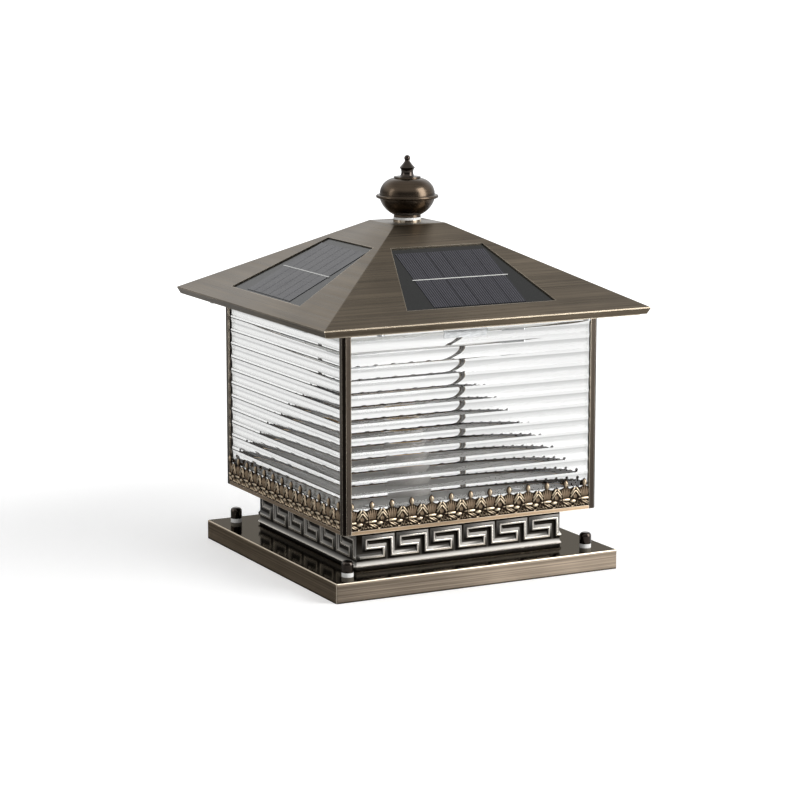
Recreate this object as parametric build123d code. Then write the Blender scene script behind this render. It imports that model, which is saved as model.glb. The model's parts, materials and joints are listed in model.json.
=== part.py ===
from build123d import *
import math
import os

# Solar pagoda light for a pillar top, in millimetres.
# The origin is the middle of the underside, +Z is up and the front face looks towards -Y.

# Base tray and the steel plate inside it
BASE_SIDE = 263.0
BASE_HEIGHT = 16.6
BASE_SHEET = 1.5
BASE_CORNER_RADIUS = 1.2
BASE_TOP_ROUND = 1.0
PLATE_THICKNESS = 3.0
PLATE_MARGIN = 3.0
PLATE_CORNER_RADIUS = 6.0
ANCHOR_SPACING = 160.0
ANCHOR_HOLE_RADIUS = 4.5
CABLE_HOLE_RADIUS = 15.0
STUD_INSET = 19.5
STUD_RADIUS = 3.0
STUD_CLEARANCE = 0.3
SPACER_RADIUS = 4.9
SPACER_HEIGHT = 3.6
NUT_RADIUS = 5.0
NUT_HEIGHT = 9.6
NUT_CAP_WALL = 1.6
NUT_CROWN_ROUND = 3.0
THREAD_CLEARANCE = 0.1

# Neck: four mitred panels with a key pattern in relief
NECK_SIDE = 195.6
NECK_HEIGHT = 34.7
NECK_WALL = 5.0
NECK_GROUND_DEPTH = 1.8
NECK_FOOT_BAND = 1.8
NECK_HEAD_BAND = 2.6
NECK_BEVEL_HEIGHT = 4.8
NECK_FOOT_CHAMFER = 0.8
NECK_CORNER_CHAMFER = 1.2
KEY_PITCH = 31.4
KEY_START = 2.0
KEY_HOOK_LEFT = 8.0
KEY_HOOK_RIGHT = 24.0
KEY_HEIGHT = 14.9
KEY_RIDGE_WIDTH = 1.9
KEY_RIDGE_HEIGHT = 1.4
NECK_ANGLE_LEG = 14.0
NECK_ANGLE_SHEET = 2.0
TIE_SPACING = 140.0
TIE_RADIUS = 2.0
TIE_HEAD_RADIUS = 4.0
TIE_HEAD_HEIGHT = 2.4
TIE_NUT_ACROSS_FLATS = 7.0
TIE_NUT_HEIGHT = 3.2
TIE_TAIL = 1.5

# Lantern body
BODY_SIDE = 236.5
BODY_HEIGHT = 165.9
POST_FLANGE = 7.0
POST_SHEET = 1.5
POST_CHAMFER = 2.5
RAIL_HEIGHT = 3.1
RAIL_SHEET = 1.2
TOP_RAIL_HEIGHT = 4.5
TOP_LEDGE = 14.0
GLAZING_LEG = 4.0
GLAZING_SHEET = 1.2
GLAZING_GAP = 0.1

# Fluted glass panes
PANE_THICKNESS = 4.0
PANE_TOP_GAP = 0.5
FLUTE_PITCH = 11.65
FLUTE_START = 7.6
FLUTE_DEPTH = 1.6

# Palmette frieze in front of each pane
FRIEZE_PITCH = 18.15
FRIEZE_FIRST_BUD = 4.1
FRIEZE_LEAF_HEIGHT = 17.4
FRIEZE_SHOULDER_HEIGHT = 15.2
FRIEZE_HEIGHT = 23.6
FRIEZE_BODY_WIDTH = 10.4
FRIEZE_BUD_WIDTH = 4.4
FRIEZE_NECK_WIDTH = 2.4
FRIEZE_BACK_INSET = 1.4
FRIEZE_PROUD = 0.9
FRIEZE_END_GAP = 0.1

# Lamp holder on the lantern floor
HOLDER_RADIUS = 19.0
HOLDER_HEIGHT = 38.0
HOLDER_FLOOR = 7.0
HOLDER_RIM_RADIUS = 2.0
HOLDER_WELL_STEP = 2.0
SOCKET_RADIUS = 13.25
SOCKET_LENGTH = 22.0
SOCKET_WALL = 0.8
SOCKET_CLEARANCE = 0.2
CONTACT_WIDTH = 8.0
CONTACT_LENGTH = 18.0
CONTACT_SHEET = 0.8
CONTACT_RISE = 3.0
LEAD_RADIUS = 1.2
LEAD_SPACING = 12.0
LEAD_HOLE_CLEARANCE = 0.4
LEAD_HEIGHT = 10.5
LEAD_BEND_RADIUS = 14.0
FLOOR_HOLE_RADIUS = 10.0
GROMMET_BORE_RADIUS = 5.0
GROMMET_NECK_RADIUS = 9.0
GROMMET_LIP = 2.5
GROMMET_LIP_HEIGHT = 2.5
TERMINAL_LENGTH = 20.0
TERMINAL_WIDTH = 26.0
TERMINAL_HEIGHT = 18.0
TERMINAL_PLACE = 30.0
TERMINAL_SCREW_RADIUS = 2.4
TERMINAL_SCREW_DEPTH = 9.0

# Hipped roof
ROOF_SIDE = 300.0
ROOF_RISE = 64.6
ROOF_SHEET = 1.0
PLATEAU_SIDE = 47.7
ROOF_FOLD_RADIUS = 1.5
EAVE_FOLD_FLAT = 0.6
RIM_HEIGHT = 5.6
RIM_LEAN = 2.7
RETURN_FLANGE = 18.0
CEILING_SHEET = 1.2
CEILING_INSET = 4.0
WINDOW_FROM_EAVE = 19.5
WINDOW_FROM_PLATEAU = 33.7
WINDOW_LOW_FROM_HIP = 64.1
WINDOW_HIGH_FROM_HIP = 10.9
PANEL_LAP = 2.5
PANEL_THICKNESS = 2.0
PANEL_GLUE_GAP = 0.1
CELL_COUNT = 6
CELL_SIDE_MARGIN = 0.5
CELL_FOOT_MARGIN = 3.0
CELL_HEAD_MARGIN = 7.5
CELL_GAP = 0.5
CELL_THICKNESS = 0.4
RIBBON_WIDTH = 1.2
RIBBON_THICKNESS = 0.2
RIBBON_OVERHANG = 1.8
CLIP_WIDTH = 8.0
CLIP_SPACING = 44.0
CLIP_SHEET = 1.0
CLIP_FOOT = 5.0
CLIP_LIP = 4.0
CLIP_GAP = 0.3
CEILING_SCREW_SPACING = 190.0
CEILING_SCREW_RADIUS = 1.5
CEILING_SCREW_HEAD_RADIUS = 3.0
CEILING_SCREW_HEAD_HEIGHT = 1.8
CEILING_SCREW_TAIL = 3.0
SCREW_CLEARANCE = 0.2

# Under the ceiling: lamp, switch and the tabs that centre the roof
TAB_WIDTH = 40.0
TAB_DROP = 14.0
TAB_FOOT = 12.0
TAB_SHEET = 1.5
TAB_CLEARANCE = 0.5
LED_BOARD_RADIUS = 46.0
LED_BOARD_THICKNESS = 1.6
LED_COUNT = 12
LED_CIRCLE_RADIUS = 34.0
LED_SIDE = 5.0
LED_HEIGHT = 1.0
COVER_RADIUS = 55.0
COVER_HEIGHT = 9.0
COVER_WALL = 2.0
COVER_EDGE_RADIUS = 5.0
SWITCH_PLACE = 74.0
SWITCH_BEZEL_RADIUS = 8.0
SWITCH_BEZEL_HEIGHT = 3.0
SWITCH_BARREL_RADIUS = 6.0
SWITCH_BARREL_HEIGHT = 14.0
SWITCH_CLEARANCE = 0.2
BUTTON_RADIUS = 4.5
BUTTON_CLEARANCE = 0.3
BUTTON_TRAVEL = 2.0
BUTTON_PROUD = 2.5
BUTTON_SEAT = 1.3
BUTTON_SPARE = 0.5

# Above the ceiling: battery and charge board
CELL_CAN_RADIUS = 16.2
CELL_CAN_LENGTH = 66.0
CELL_CAN_GAP = 1.0
BATTERY_WALL = 2.0
BATTERY_BOX_HEIGHT = 20.0
BATTERY_FIT = 0.3
BATTERY_PLACE = -30.0
BOARD_LENGTH = 50.0
BOARD_WIDTH = 40.0
BOARD_THICKNESS = 1.6
BOARD_GAP = 8.0
STANDOFF_RADIUS = 3.0
STANDOFF_HEIGHT = 6.0
STANDOFF_INSET = 4.0
CAPACITOR_RADIUS = 5.0
CAPACITOR_HEIGHT = 11.0
CONNECTOR_LENGTH = 7.0
CONNECTOR_WIDTH = 6.0
CONNECTOR_HEIGHT = 6.0
CONNECTOR_SPACING = 10.0
INDUCTOR_SIDE = 12.0
INDUCTOR_HEIGHT = 5.0

# Finial
COLLAR_RADIUS = 11.8
COLLAR_HEIGHT = 1.8
WASHER_RADIUS = 11.7
WASHER_HEIGHT = 1.9
BALL_RADIUS = 23.4
BALL_NECK_RADIUS = 11.5
BALL_NECK_HEIGHT = 2.1
BALL_LOWER_HEIGHT = 15.4
BALL_UPPER_HEIGHT = 15.4
BOWL_SHOULDER_RADIUS = 19.6
BOWL_SHOULDER_RISE = 6.2
DOME_SHOULDER_RADIUS = 19.4
DOME_SHOULDER_RISE = 10.0
BALL_WALL = 1.2
BEAD_RADIUS = 26.5
BEAD_HALF_HEIGHT = 1.5
DISC_RADIUS = 11.35
DISC_HEIGHT = 1.3
SPIRE_BASE_RADIUS = 6.45
SPIRE_WAIST_RADIUS = 5.1
SPIRE_WAIST_HEIGHT = 3.9
SPIRE_BULGE_RADIUS = 6.7
SPIRE_BULGE_HEIGHT = 7.6
SPIRE_CONE_RADIUS = 4.15
SPIRE_TIP_RADIUS = 2.15
SPIRE_TIP_HEIGHT = 13.0
SPIRE_HEIGHT = 18.1
KNOB_RADIUS = 2.6
FINIAL_STUD_REACH = 10.0
FINIAL_STUD_TAIL = 3.0
FINIAL_NUT_HEIGHT = 5.0
FINIAL_NUT_ACROSS_FLATS = 10.0

# Heights that follow from the stack
plate_top = PLATE_THICKNESS
base_top = BASE_HEIGHT
body_bottom = base_top + NECK_HEIGHT
floor_top = body_bottom + RAIL_SHEET
rail_top = body_bottom + RAIL_HEIGHT
body_top = body_bottom + BODY_HEIGHT
ledge_bottom = body_top - RAIL_SHEET
ceiling_top = body_top + CEILING_SHEET
eave_bottom = ceiling_top
eave_top = eave_bottom + RIM_HEIGHT
plateau = eave_top + ROOF_RISE
collar_top = plateau + COLLAR_HEIGHT
washer_top = collar_top + WASHER_HEIGHT
bead_middle = washer_top + BALL_NECK_HEIGHT + BALL_LOWER_HEIGHT
ball_top = bead_middle + BALL_UPPER_HEIGHT
disc_top = ball_top + DISC_HEIGHT

# Half widths and the slope of the roof
body_half = BODY_SIDE / 2
neck_half = NECK_SIDE / 2
roof_half = ROOF_SIDE / 2
rim_half = roof_half - RIM_LEAN
plateau_half = PLATEAU_SIDE / 2
slope = math.atan2(ROOF_RISE, roof_half - plateau_half)
slope_length = math.hypot(ROOF_RISE, roof_half - plateau_half)
window_low = WINDOW_FROM_EAVE
window_high = slope_length - WINDOW_FROM_PLATEAU
window_low_half = roof_half - window_low * math.cos(slope) - WINDOW_LOW_FROM_HIP
window_high_half = roof_half - window_high * math.cos(slope) - WINDOW_HIGH_FROM_HIP
stud_place = BASE_SIDE / 2 - STUD_INSET
stud_hole_radius = STUD_RADIUS + STUD_CLEARANCE
pane_front = body_half - POST_SHEET - GLAZING_GAP
pane_back = pane_front - PANE_THICKNESS
glazing_front = pane_back - GLAZING_GAP
diagonal = math.sqrt(0.5)

SIDES = {"front": 0, "right": 90, "back": 180, "left": 270}


def turned(shape, degrees):
    """The shape turned about the upright axis."""
    return Rot(0, 0, degrees) * shape


def group(shapes):
    """Separate solids that share one node."""
    return Compound([solid for shape in shapes for solid in shape.solids()])


def on_four_sides(shape):
    return group([turned(shape, degrees) for degrees in SIDES.values()])


def upright(radius, low, high, x=0, y=0):
    """An upright cylinder between two heights."""
    return Pos(x, y, (low + high) / 2) * Cylinder(radius, high - low)


def slab(half_x, half_y, low, high, x=0, y=0):
    """A block between two heights, centred on x and y."""
    return Pos(x, y, (low + high) / 2) * Box(2 * half_x, 2 * half_y, high - low)


def hexagon(across_flats, low, high, x=0, y=0):
    sketch = RegularPolygon(across_flats / 2, 6, major_radius=False)
    return Pos(x, y, low) * extrude(sketch, high - low)


def square_frustum(low_half, low, high_half, high):
    """A four-sided frustum on the axis between two heights."""
    bottom = Pos(0, 0, low) * Rectangle(2 * low_half, 2 * low_half)
    top = Pos(0, 0, high) * Rectangle(2 * high_half, 2 * high_half)
    return loft([bottom, top])


def spun(*edges):
    """A closed half section in the XZ plane turned once about the axis."""
    return revolve(make_face(Plane.XZ * Curve(edges)), Axis.Z)


def corners(place):
    """The four points at the same distance from both middle planes."""
    return [(place, -place), (place, place), (-place, place), (-place, -place)]


# Base


def make_mounting_plate():
    half = BASE_SIDE / 2 - BASE_SHEET - PLATE_MARGIN
    plate = slab(half, half, 0, plate_top)
    plate = fillet(plate.edges().filter_by(Axis.Z), PLATE_CORNER_RADIUS)
    plate -= upright(CABLE_HOLE_RADIUS, 0, plate_top)
    for x, y in corners(ANCHOR_SPACING / 2):
        plate -= upright(ANCHOR_HOLE_RADIUS, 0, plate_top, x, y)
    return plate


def make_mounting_studs():
    high = base_top + SPACER_HEIGHT + NUT_HEIGHT - NUT_CAP_WALL - STUD_CLEARANCE
    return group([upright(STUD_RADIUS, plate_top, high, x, y) for x, y in corners(stud_place)])


def make_base_cover():
    half = BASE_SIDE / 2
    cover = slab(half, half, 0, base_top)
    cover = fillet(cover.edges().filter_by(Axis.Z), BASE_CORNER_RADIUS)
    cover = fillet(cover.faces().sort_by(Axis.Z)[-1].edges(), BASE_TOP_ROUND)
    cover -= slab(half - BASE_SHEET, half - BASE_SHEET, 0, base_top - BASE_SHEET)
    cover -= upright(GROMMET_NECK_RADIUS, 0, base_top)
    for x, y in corners(stud_place):
        cover -= upright(stud_hole_radius, 0, base_top, x, y)
    for x, y in corners(TIE_SPACING / 2):
        cover -= upright(TIE_RADIUS + SCREW_CLEARANCE, 0, base_top, x, y)
    return cover


def make_stud_spacers():
    high = base_top + SPACER_HEIGHT
    rings = []
    for x, y in corners(stud_place):
        ring = upright(SPACER_RADIUS, base_top, high, x, y)
        rings.append(ring - upright(stud_hole_radius, base_top, high, x, y))
    return group(rings)


def make_acorn_nut():
    """One smooth cap nut with a rounded crown and a blind hole, standing at the origin."""
    nut = upright(NUT_RADIUS, 0, NUT_HEIGHT)
    nut = fillet(nut.faces().sort_by(Axis.Z)[-1].edges(), NUT_CROWN_ROUND)
    return nut - upright(STUD_RADIUS + THREAD_CLEARANCE, 0, NUT_HEIGHT - NUT_CAP_WALL)


def make_acorn_nuts():
    nut = make_acorn_nut()
    return group([Pos(x, y, base_top + SPACER_HEIGHT) * nut for x, y in corners(stud_place)])


# Neck


def key_ridges():
    """The running key on the front panel, drawn on the XZ plane as one flat outline."""
    low = base_top + (NECK_HEIGHT - KEY_HEIGHT) / 2 + (NECK_FOOT_BAND - NECK_HEAD_BAND) / 2
    middle = low + KEY_HEIGHT / 2
    high = low + KEY_HEIGHT
    count = math.ceil((NECK_SIDE - KEY_START) / KEY_PITCH)
    runs = []
    for unit in range(count):
        left = -neck_half + KEY_START + unit * KEY_PITCH
        hook_left = left + KEY_HOOK_LEFT
        hook_right = left + KEY_HOOK_RIGHT
        right = left + KEY_PITCH
        runs.append(((left, low), (hook_right, low)))
        runs.append(((hook_right, low), (hook_right, middle)))
        runs.append(((hook_left, middle), (hook_right, middle)))
        runs.append(((hook_left, middle), (hook_left, high)))
        runs.append(((hook_left, high), (right, high)))
        runs.append(((right, low), (right, high)))
    ridges = Sketch()
    for (x0, z0), (x1, z1) in runs:
        bar = Rectangle(x1 - x0 + KEY_RIDGE_WIDTH, z1 - z0 + KEY_RIDGE_WIDTH)
        ridges += Pos((x0 + x1) / 2, (z0 + z1) / 2) * bar
    return ridges


def make_neck_panel():
    """The front panel: a moulded section cut to 45 degree mitres, with the key raised on it."""
    face = -neck_half
    ground = face + NECK_GROUND_DEPTH
    back = face + NECK_WALL
    foot = base_top + NECK_FOOT_BAND
    head = body_bottom - NECK_HEAD_BAND
    outline = Polyline(
        (back, base_top),
        (face + NECK_FOOT_CHAMFER, base_top),
        (face, base_top + NECK_FOOT_CHAMFER),
        (face, foot),
        (ground, foot + NECK_BEVEL_HEIGHT),
        (ground, head - NECK_BEVEL_HEIGHT),
        (face, head),
        (face, body_bottom),
        (back, body_bottom),
        close=True,
    )
    panel = extrude(Plane.YZ * make_face(outline), neck_half, both=True)
    ridge_plane = Plane(origin=(0, ground, 0), x_dir=(1, 0, 0), z_dir=(0, -1, 0))
    panel += extrude(ridge_plane * key_ridges(), KEY_RIDGE_HEIGHT)
    corner = neck_half - NECK_CORNER_CHAMFER
    mitre = Polyline(
        (-corner, face),
        (corner, face),
        (neck_half - NECK_CORNER_CHAMFER / 2, face + NECK_CORNER_CHAMFER / 2),
        (-back, back),
        (back, back),
        (-neck_half + NECK_CORNER_CHAMFER / 2, face + NECK_CORNER_CHAMFER / 2),
        close=True,
    )
    return panel & (Pos(0, 0, base_top) * extrude(make_face(mitre), NECK_HEIGHT))


def make_neck_corner_angles():
    outer = neck_half - NECK_WALL
    middle = outer - NECK_ANGLE_LEG / 2
    angle = slab(NECK_ANGLE_LEG / 2, NECK_ANGLE_LEG / 2, base_top, body_bottom, middle, -middle)
    inner = middle - NECK_ANGLE_SHEET
    angle -= slab(NECK_ANGLE_LEG / 2, NECK_ANGLE_LEG / 2, base_top, body_bottom, inner, -inner)
    return on_four_sides(angle)


def make_tie_bolts():
    """Long screws from the lantern floor down through the base tray, with their nuts."""
    cover_under = base_top - BASE_SHEET
    low = cover_under - TIE_NUT_HEIGHT - TIE_TAIL
    pieces = []
    for x, y in corners(TIE_SPACING / 2):
        head = upright(TIE_HEAD_RADIUS, floor_top, floor_top + TIE_HEAD_HEIGHT, x, y)
        pieces.append(head + upright(TIE_RADIUS, low, floor_top, x, y))
        nut = hexagon(TIE_NUT_ACROSS_FLATS, cover_under - TIE_NUT_HEIGHT, cover_under, x, y)
        pieces.append(nut - upright(TIE_RADIUS + THREAD_CLEARANCE, low, cover_under, x, y))
    return group(pieces)


# Lantern body


def post_inside():
    """The inner fold points of the angle section at the right end of the front face."""
    fold = POST_CHAMFER + POST_SHEET * (math.sqrt(2) - 1)
    return [
        (body_half - POST_FLANGE, -body_half + POST_SHEET),
        (body_half - fold, -body_half + POST_SHEET),
        (body_half - POST_SHEET, -body_half + fold),
        (body_half - POST_SHEET, -body_half + POST_FLANGE),
    ]


def corner_notches(low, high):
    """The corners that the four angle posts take out of a sheet between two heights."""
    outside = [
        (body_half, -body_half + POST_FLANGE),
        (body_half, -body_half),
        (body_half - POST_FLANGE, -body_half),
    ]
    notch = make_face(Polyline(*post_inside(), *outside, close=True))
    return on_four_sides(Pos(0, 0, low) * extrude(notch, high - low))


def make_floor_tray():
    tray = slab(body_half, body_half, body_bottom, rail_top)
    tray -= slab(body_half - RAIL_SHEET, body_half - RAIL_SHEET, floor_top, rail_top)
    corner = body_half - POST_FLANGE / 2
    for x, y in corners(corner):
        tray -= slab(POST_FLANGE / 2, POST_FLANGE / 2, floor_top, rail_top, x, y)
    tray -= corner_notches(body_bottom, floor_top)
    tray -= upright(FLOOR_HOLE_RADIUS, body_bottom, floor_top)
    for x, y in corners(TIE_SPACING / 2):
        tray -= upright(TIE_RADIUS + SCREW_CLEARANCE, body_bottom, floor_top, x, y)
    return tray


def make_top_frame():
    low = body_top - TOP_RAIL_HEIGHT
    frame = slab(body_half, body_half, low, body_top)
    frame -= slab(body_half - RAIL_SHEET, body_half - RAIL_SHEET, low, ledge_bottom)
    frame -= slab(body_half - TOP_LEDGE, body_half - TOP_LEDGE, ledge_bottom, body_top)
    corner = body_half - POST_FLANGE / 2
    for x, y in corners(corner):
        frame -= slab(POST_FLANGE / 2, POST_FLANGE / 2, low, ledge_bottom, x, y)
    return frame - corner_notches(ledge_bottom, body_top)


def make_corner_post():
    """The folded angle post at the right end of the front face, with a flat across its corner."""
    outside = [
        (body_half, -body_half + POST_FLANGE),
        (body_half, -body_half + POST_CHAMFER),
        (body_half - POST_CHAMFER, -body_half),
        (body_half - POST_FLANGE, -body_half),
    ]
    section = make_face(Polyline(*post_inside(), *outside, close=True))
    return Pos(0, 0, body_bottom) * extrude(section, BODY_HEIGHT)


def make_glazing_angles():
    middle = glazing_front - GLAZING_LEG / 2
    angle = slab(GLAZING_LEG / 2, GLAZING_LEG / 2, floor_top, ledge_bottom, middle, -middle)
    inner = middle - GLAZING_SHEET
    angle -= slab(GLAZING_LEG / 2, GLAZING_LEG / 2, floor_top, ledge_bottom, inner, -inner)
    return on_four_sides(angle)


def make_glass_pane():
    """The front pane: flat behind, with hollow flutes across its outer face."""
    low = floor_top
    high = ledge_bottom - PANE_TOP_GAP
    half_width = pane_back - GLAZING_GAP
    first = low + FLUTE_START - FLUTE_PITCH
    count = math.ceil((high - first) / FLUTE_PITCH)
    last = first + count * FLUTE_PITCH
    edges = []
    for flute in range(count):
        foot = first + flute * FLUTE_PITCH
        start = (-pane_front, foot)
        hollow = (-pane_front + FLUTE_DEPTH, foot + FLUTE_PITCH / 2)
        end = (-pane_front, foot + FLUTE_PITCH)
        edges.append(ThreePointArc(start, hollow, end))
    edges.append(Polyline((-pane_front, last), (-pane_back, last), (-pane_back, first), (-pane_front, first)))
    fluted = extrude(Plane.YZ * make_face(Curve(edges)), half_width, both=True)
    return fluted & slab(half_width, pane_front, low, high)


def frieze_unit():
    """One palmette: a bud on a broad leaf, between the leaf tips that meet those of its neighbours."""
    half = FRIEZE_PITCH / 2
    neck = FRIEZE_NECK_WIDTH / 2
    body = FRIEZE_BODY_WIDTH / 2
    bud = FRIEZE_BUD_WIDTH / 2
    tip = half - neck
    shoulder = FRIEZE_SHOULDER_HEIGHT
    leaf = FRIEZE_LEAF_HEIGHT
    bud_middle = (leaf + FRIEZE_HEIGHT) / 2
    edges = [
        Polyline((-neck, leaf), (-body, shoulder), (-tip, leaf), (-half, shoulder), (-half, 0)),
        Line((-half, 0), (half, 0)),
        Polyline((half, 0), (half, shoulder), (tip, leaf), (body, shoulder), (neck, leaf)),
        ThreePointArc((neck, leaf), (bud, bud_middle), (0, FRIEZE_HEIGHT)),
        ThreePointArc((0, FRIEZE_HEIGHT), (-bud, bud_middle), (-neck, leaf)),
    ]
    return make_face(Curve(edges))


def make_frieze():
    """The front strip, cut to length from a running palmette pattern."""
    half_length = body_half - POST_FLANGE - FRIEZE_END_GAP
    count = math.ceil((2 * half_length - FRIEZE_FIRST_BUD) / FRIEZE_PITCH + 0.5)
    unit = frieze_unit()
    strip = Sketch()
    for number in range(count):
        strip += Pos(half_length - FRIEZE_FIRST_BUD - number * FRIEZE_PITCH, 0) * unit
    strip &= Pos(0, FRIEZE_HEIGHT / 2) * Rectangle(2 * half_length, FRIEZE_HEIGHT)
    back = Plane(origin=(0, -body_half + FRIEZE_BACK_INSET, rail_top), x_dir=(1, 0, 0), z_dir=(0, -1, 0))
    return extrude(back * strip, FRIEZE_BACK_INSET + FRIEZE_PROUD)


# Lamp holder and its wiring


def make_lamp_holder():
    """White ceramic holder with a stepped bore for the screw shell."""
    high = floor_top + HOLDER_HEIGHT
    shell_low = high - SOCKET_LENGTH
    shell_radius = SOCKET_RADIUS + SOCKET_WALL + SOCKET_CLEARANCE
    holder = upright(HOLDER_RADIUS, floor_top, high)
    holder = fillet(holder.edges().filter_by(GeomType.CIRCLE).sort_by(Axis.Z)[-1], HOLDER_RIM_RADIUS)
    holder -= upright(shell_radius, shell_low, high)
    holder -= upright(SOCKET_RADIUS - HOLDER_WELL_STEP, floor_top + HOLDER_FLOOR, shell_low)
    for y in (-LEAD_SPACING / 2, LEAD_SPACING / 2):
        holder -= upright(LEAD_RADIUS + LEAD_HOLE_CLEARANCE, floor_top, floor_top + HOLDER_FLOOR, 0, y)
    return holder


def make_lamp_contacts():
    """The brass screw shell and the sprung tongue under it."""
    high = floor_top + HOLDER_HEIGHT
    shell = upright(SOCKET_RADIUS + SOCKET_WALL, high - SOCKET_LENGTH, high)
    shell -= upright(SOCKET_RADIUS, high - SOCKET_LENGTH, high)
    seat = floor_top + HOLDER_FLOOR
    half = CONTACT_LENGTH / 2
    tongue = Polyline(
        (-half, seat),
        (-half + CONTACT_SHEET, seat),
        (0, seat + CONTACT_RISE),
        (half, seat + CONTACT_RISE),
        (half, seat + CONTACT_RISE + CONTACT_SHEET),
        (-CONTACT_SHEET / 2, seat + CONTACT_RISE + CONTACT_SHEET),
        (-half, seat + CONTACT_SHEET),
        close=True,
    )
    return group([shell, extrude(Plane.XZ * make_face(tongue), CONTACT_WIDTH / 2, both=True)])


def make_lamp_leads():
    """Two leads from the holder down into the neck and across to the terminal block."""
    start = floor_top + HOLDER_FLOOR / 2
    low = base_top + LEAD_HEIGHT
    leads = []
    for y in (-LEAD_SPACING / 2, LEAD_SPACING / 2):
        path = FilletPolyline((0, y, start), (0, y, low), (TERMINAL_PLACE, y, low), radius=LEAD_BEND_RADIUS)
        section = Plane(origin=(0, y, start), z_dir=(0, 0, -1)) * Circle(LEAD_RADIUS)
        leads.append(sweep(section, path))
    return group(leads)


def make_terminal_block():
    middle = TERMINAL_PLACE + TERMINAL_LENGTH / 2
    high = base_top + TERMINAL_HEIGHT
    block = slab(TERMINAL_LENGTH / 2, TERMINAL_WIDTH / 2, base_top, high, middle)
    block = chamfer(block.faces().sort_by(Axis.Z)[-1].edges().filter_by(Axis.Y), TERMINAL_SCREW_RADIUS)
    for y in (-LEAD_SPACING / 2, LEAD_SPACING / 2):
        block -= upright(TERMINAL_SCREW_RADIUS, high - TERMINAL_SCREW_DEPTH, high, middle, y)
    return block


def make_cable_grommet():
    """A rubber ring that lines the cable hole of the base tray."""
    low = base_top - BASE_SHEET - GROMMET_LIP_HEIGHT
    high = base_top + GROMMET_LIP_HEIGHT
    lip = GROMMET_NECK_RADIUS + GROMMET_LIP
    ring = upright(lip, low, high)
    groove = upright(lip, base_top - BASE_SHEET, base_top)
    ring -= groove - upright(GROMMET_NECK_RADIUS, base_top - BASE_SHEET, base_top)
    return ring - upright(GROMMET_BORE_RADIUS, low, high)


# Roof


def slope_plane(depth):
    """The front slope sunk by a depth: x runs along the eave and y runs up the slope."""
    normal = Vector(0, -math.sin(slope), math.cos(slope))
    return Plane(Vector(0, -roof_half, eave_top) - normal * depth, x_dir=(1, 0, 0), z_dir=normal)


def window_outline():
    return Polygon(
        (-window_low_half, window_low),
        (window_low_half, window_low),
        (window_high_half, window_high),
        (-window_high_half, window_high),
        align=None,
    )


def slope_half(height, depth):
    """Half width at a height of the slopes sunk by a depth."""
    return roof_half - (height + depth / math.cos(slope) - eave_top) / math.tan(slope)


def ceiling_screw_places():
    place = rim_half - RETURN_FLANGE / 2
    spots = []
    for x in (-CEILING_SCREW_SPACING / 2, CEILING_SCREW_SPACING / 2):
        spots += [(x, -place), (x, place), (-place, x), (place, x)]
    return spots


def make_roof_shell():
    """Folded sheet: four slopes with a window each, a leaning rim and a return flange."""
    outer = square_frustum(roof_half, eave_top, plateau_half, plateau)
    outer += square_frustum(rim_half, eave_bottom, roof_half, eave_top)
    eaves = outer.edges().filter_by_position(Axis.Z, eave_top - ROOF_SHEET / 2, eave_top + ROOF_SHEET / 2)
    outer = chamfer(eaves, EAVE_FOLD_FLAT)
    folds = outer.edges().filter_by_position(Axis.Z, eave_top + ROOF_SHEET, plateau)
    outer = fillet(folds, ROOF_FOLD_RADIUS)
    flange_top = eave_bottom + ROOF_SHEET
    rim_angle = math.atan2(RIM_LEAN, RIM_HEIGHT)
    rim_inner = rim_half - ROOF_SHEET / math.cos(rim_angle)
    rim_growth = math.tan(rim_angle)
    inner_top = plateau - ROOF_SHEET
    slopes = square_frustum(
        slope_half(flange_top, ROOF_SHEET), flange_top, slope_half(inner_top, ROOF_SHEET), inner_top
    )
    rim = square_frustum(
        rim_inner + rim_growth * (flange_top - eave_bottom),
        flange_top,
        rim_inner + rim_growth * (inner_top - eave_bottom),
        inner_top,
    )
    shell = outer - (slopes & rim)
    flange_inner = rim_half - RETURN_FLANGE
    shell -= slab(flange_inner, flange_inner, eave_bottom, flange_top)
    window = extrude(slope_plane(0) * window_outline(), 2 * ROOF_SHEET, both=True)
    for degrees in SIDES.values():
        shell -= turned(window, degrees)
    shell -= upright(stud_hole_radius, inner_top, plateau)
    for x, y in ceiling_screw_places():
        shell -= upright(CEILING_SCREW_RADIUS + SCREW_CLEARANCE, eave_bottom, flange_top, x, y)
    return shell


def make_solar_panel():
    outline = offset(window_outline(), PANEL_LAP, kind=Kind.INTERSECTION)
    return extrude(slope_plane(ROOF_SHEET + PANEL_GLUE_GAP) * outline, -PANEL_THICKNESS)


def make_solar_cells():
    """Cell strips side by side up the slope, with a ribbon across their middle."""
    block_half = window_high_half - CELL_SIDE_MARGIN
    pitch = 2 * block_half / CELL_COUNT
    low = window_low + CELL_FOOT_MARGIN
    high = window_high - CELL_HEAD_MARGIN
    middle = (low + high) / 2
    panel_face = slope_plane(ROOF_SHEET + PANEL_GLUE_GAP)
    cell_face = slope_plane(ROOF_SHEET + PANEL_GLUE_GAP - CELL_THICKNESS)
    strips = []
    for number in range(CELL_COUNT):
        place = (number + 0.5) * pitch - block_half
        strip = Pos(place, middle) * Rectangle(pitch - CELL_GAP, high - low)
        strips.append(extrude(panel_face * strip, CELL_THICKNESS))
    ribbon = Pos(0, middle) * Rectangle(2 * (block_half + RIBBON_OVERHANG), RIBBON_WIDTH)
    strips.append(extrude(cell_face * ribbon, RIBBON_THICKNESS))
    return group(strips)


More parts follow.
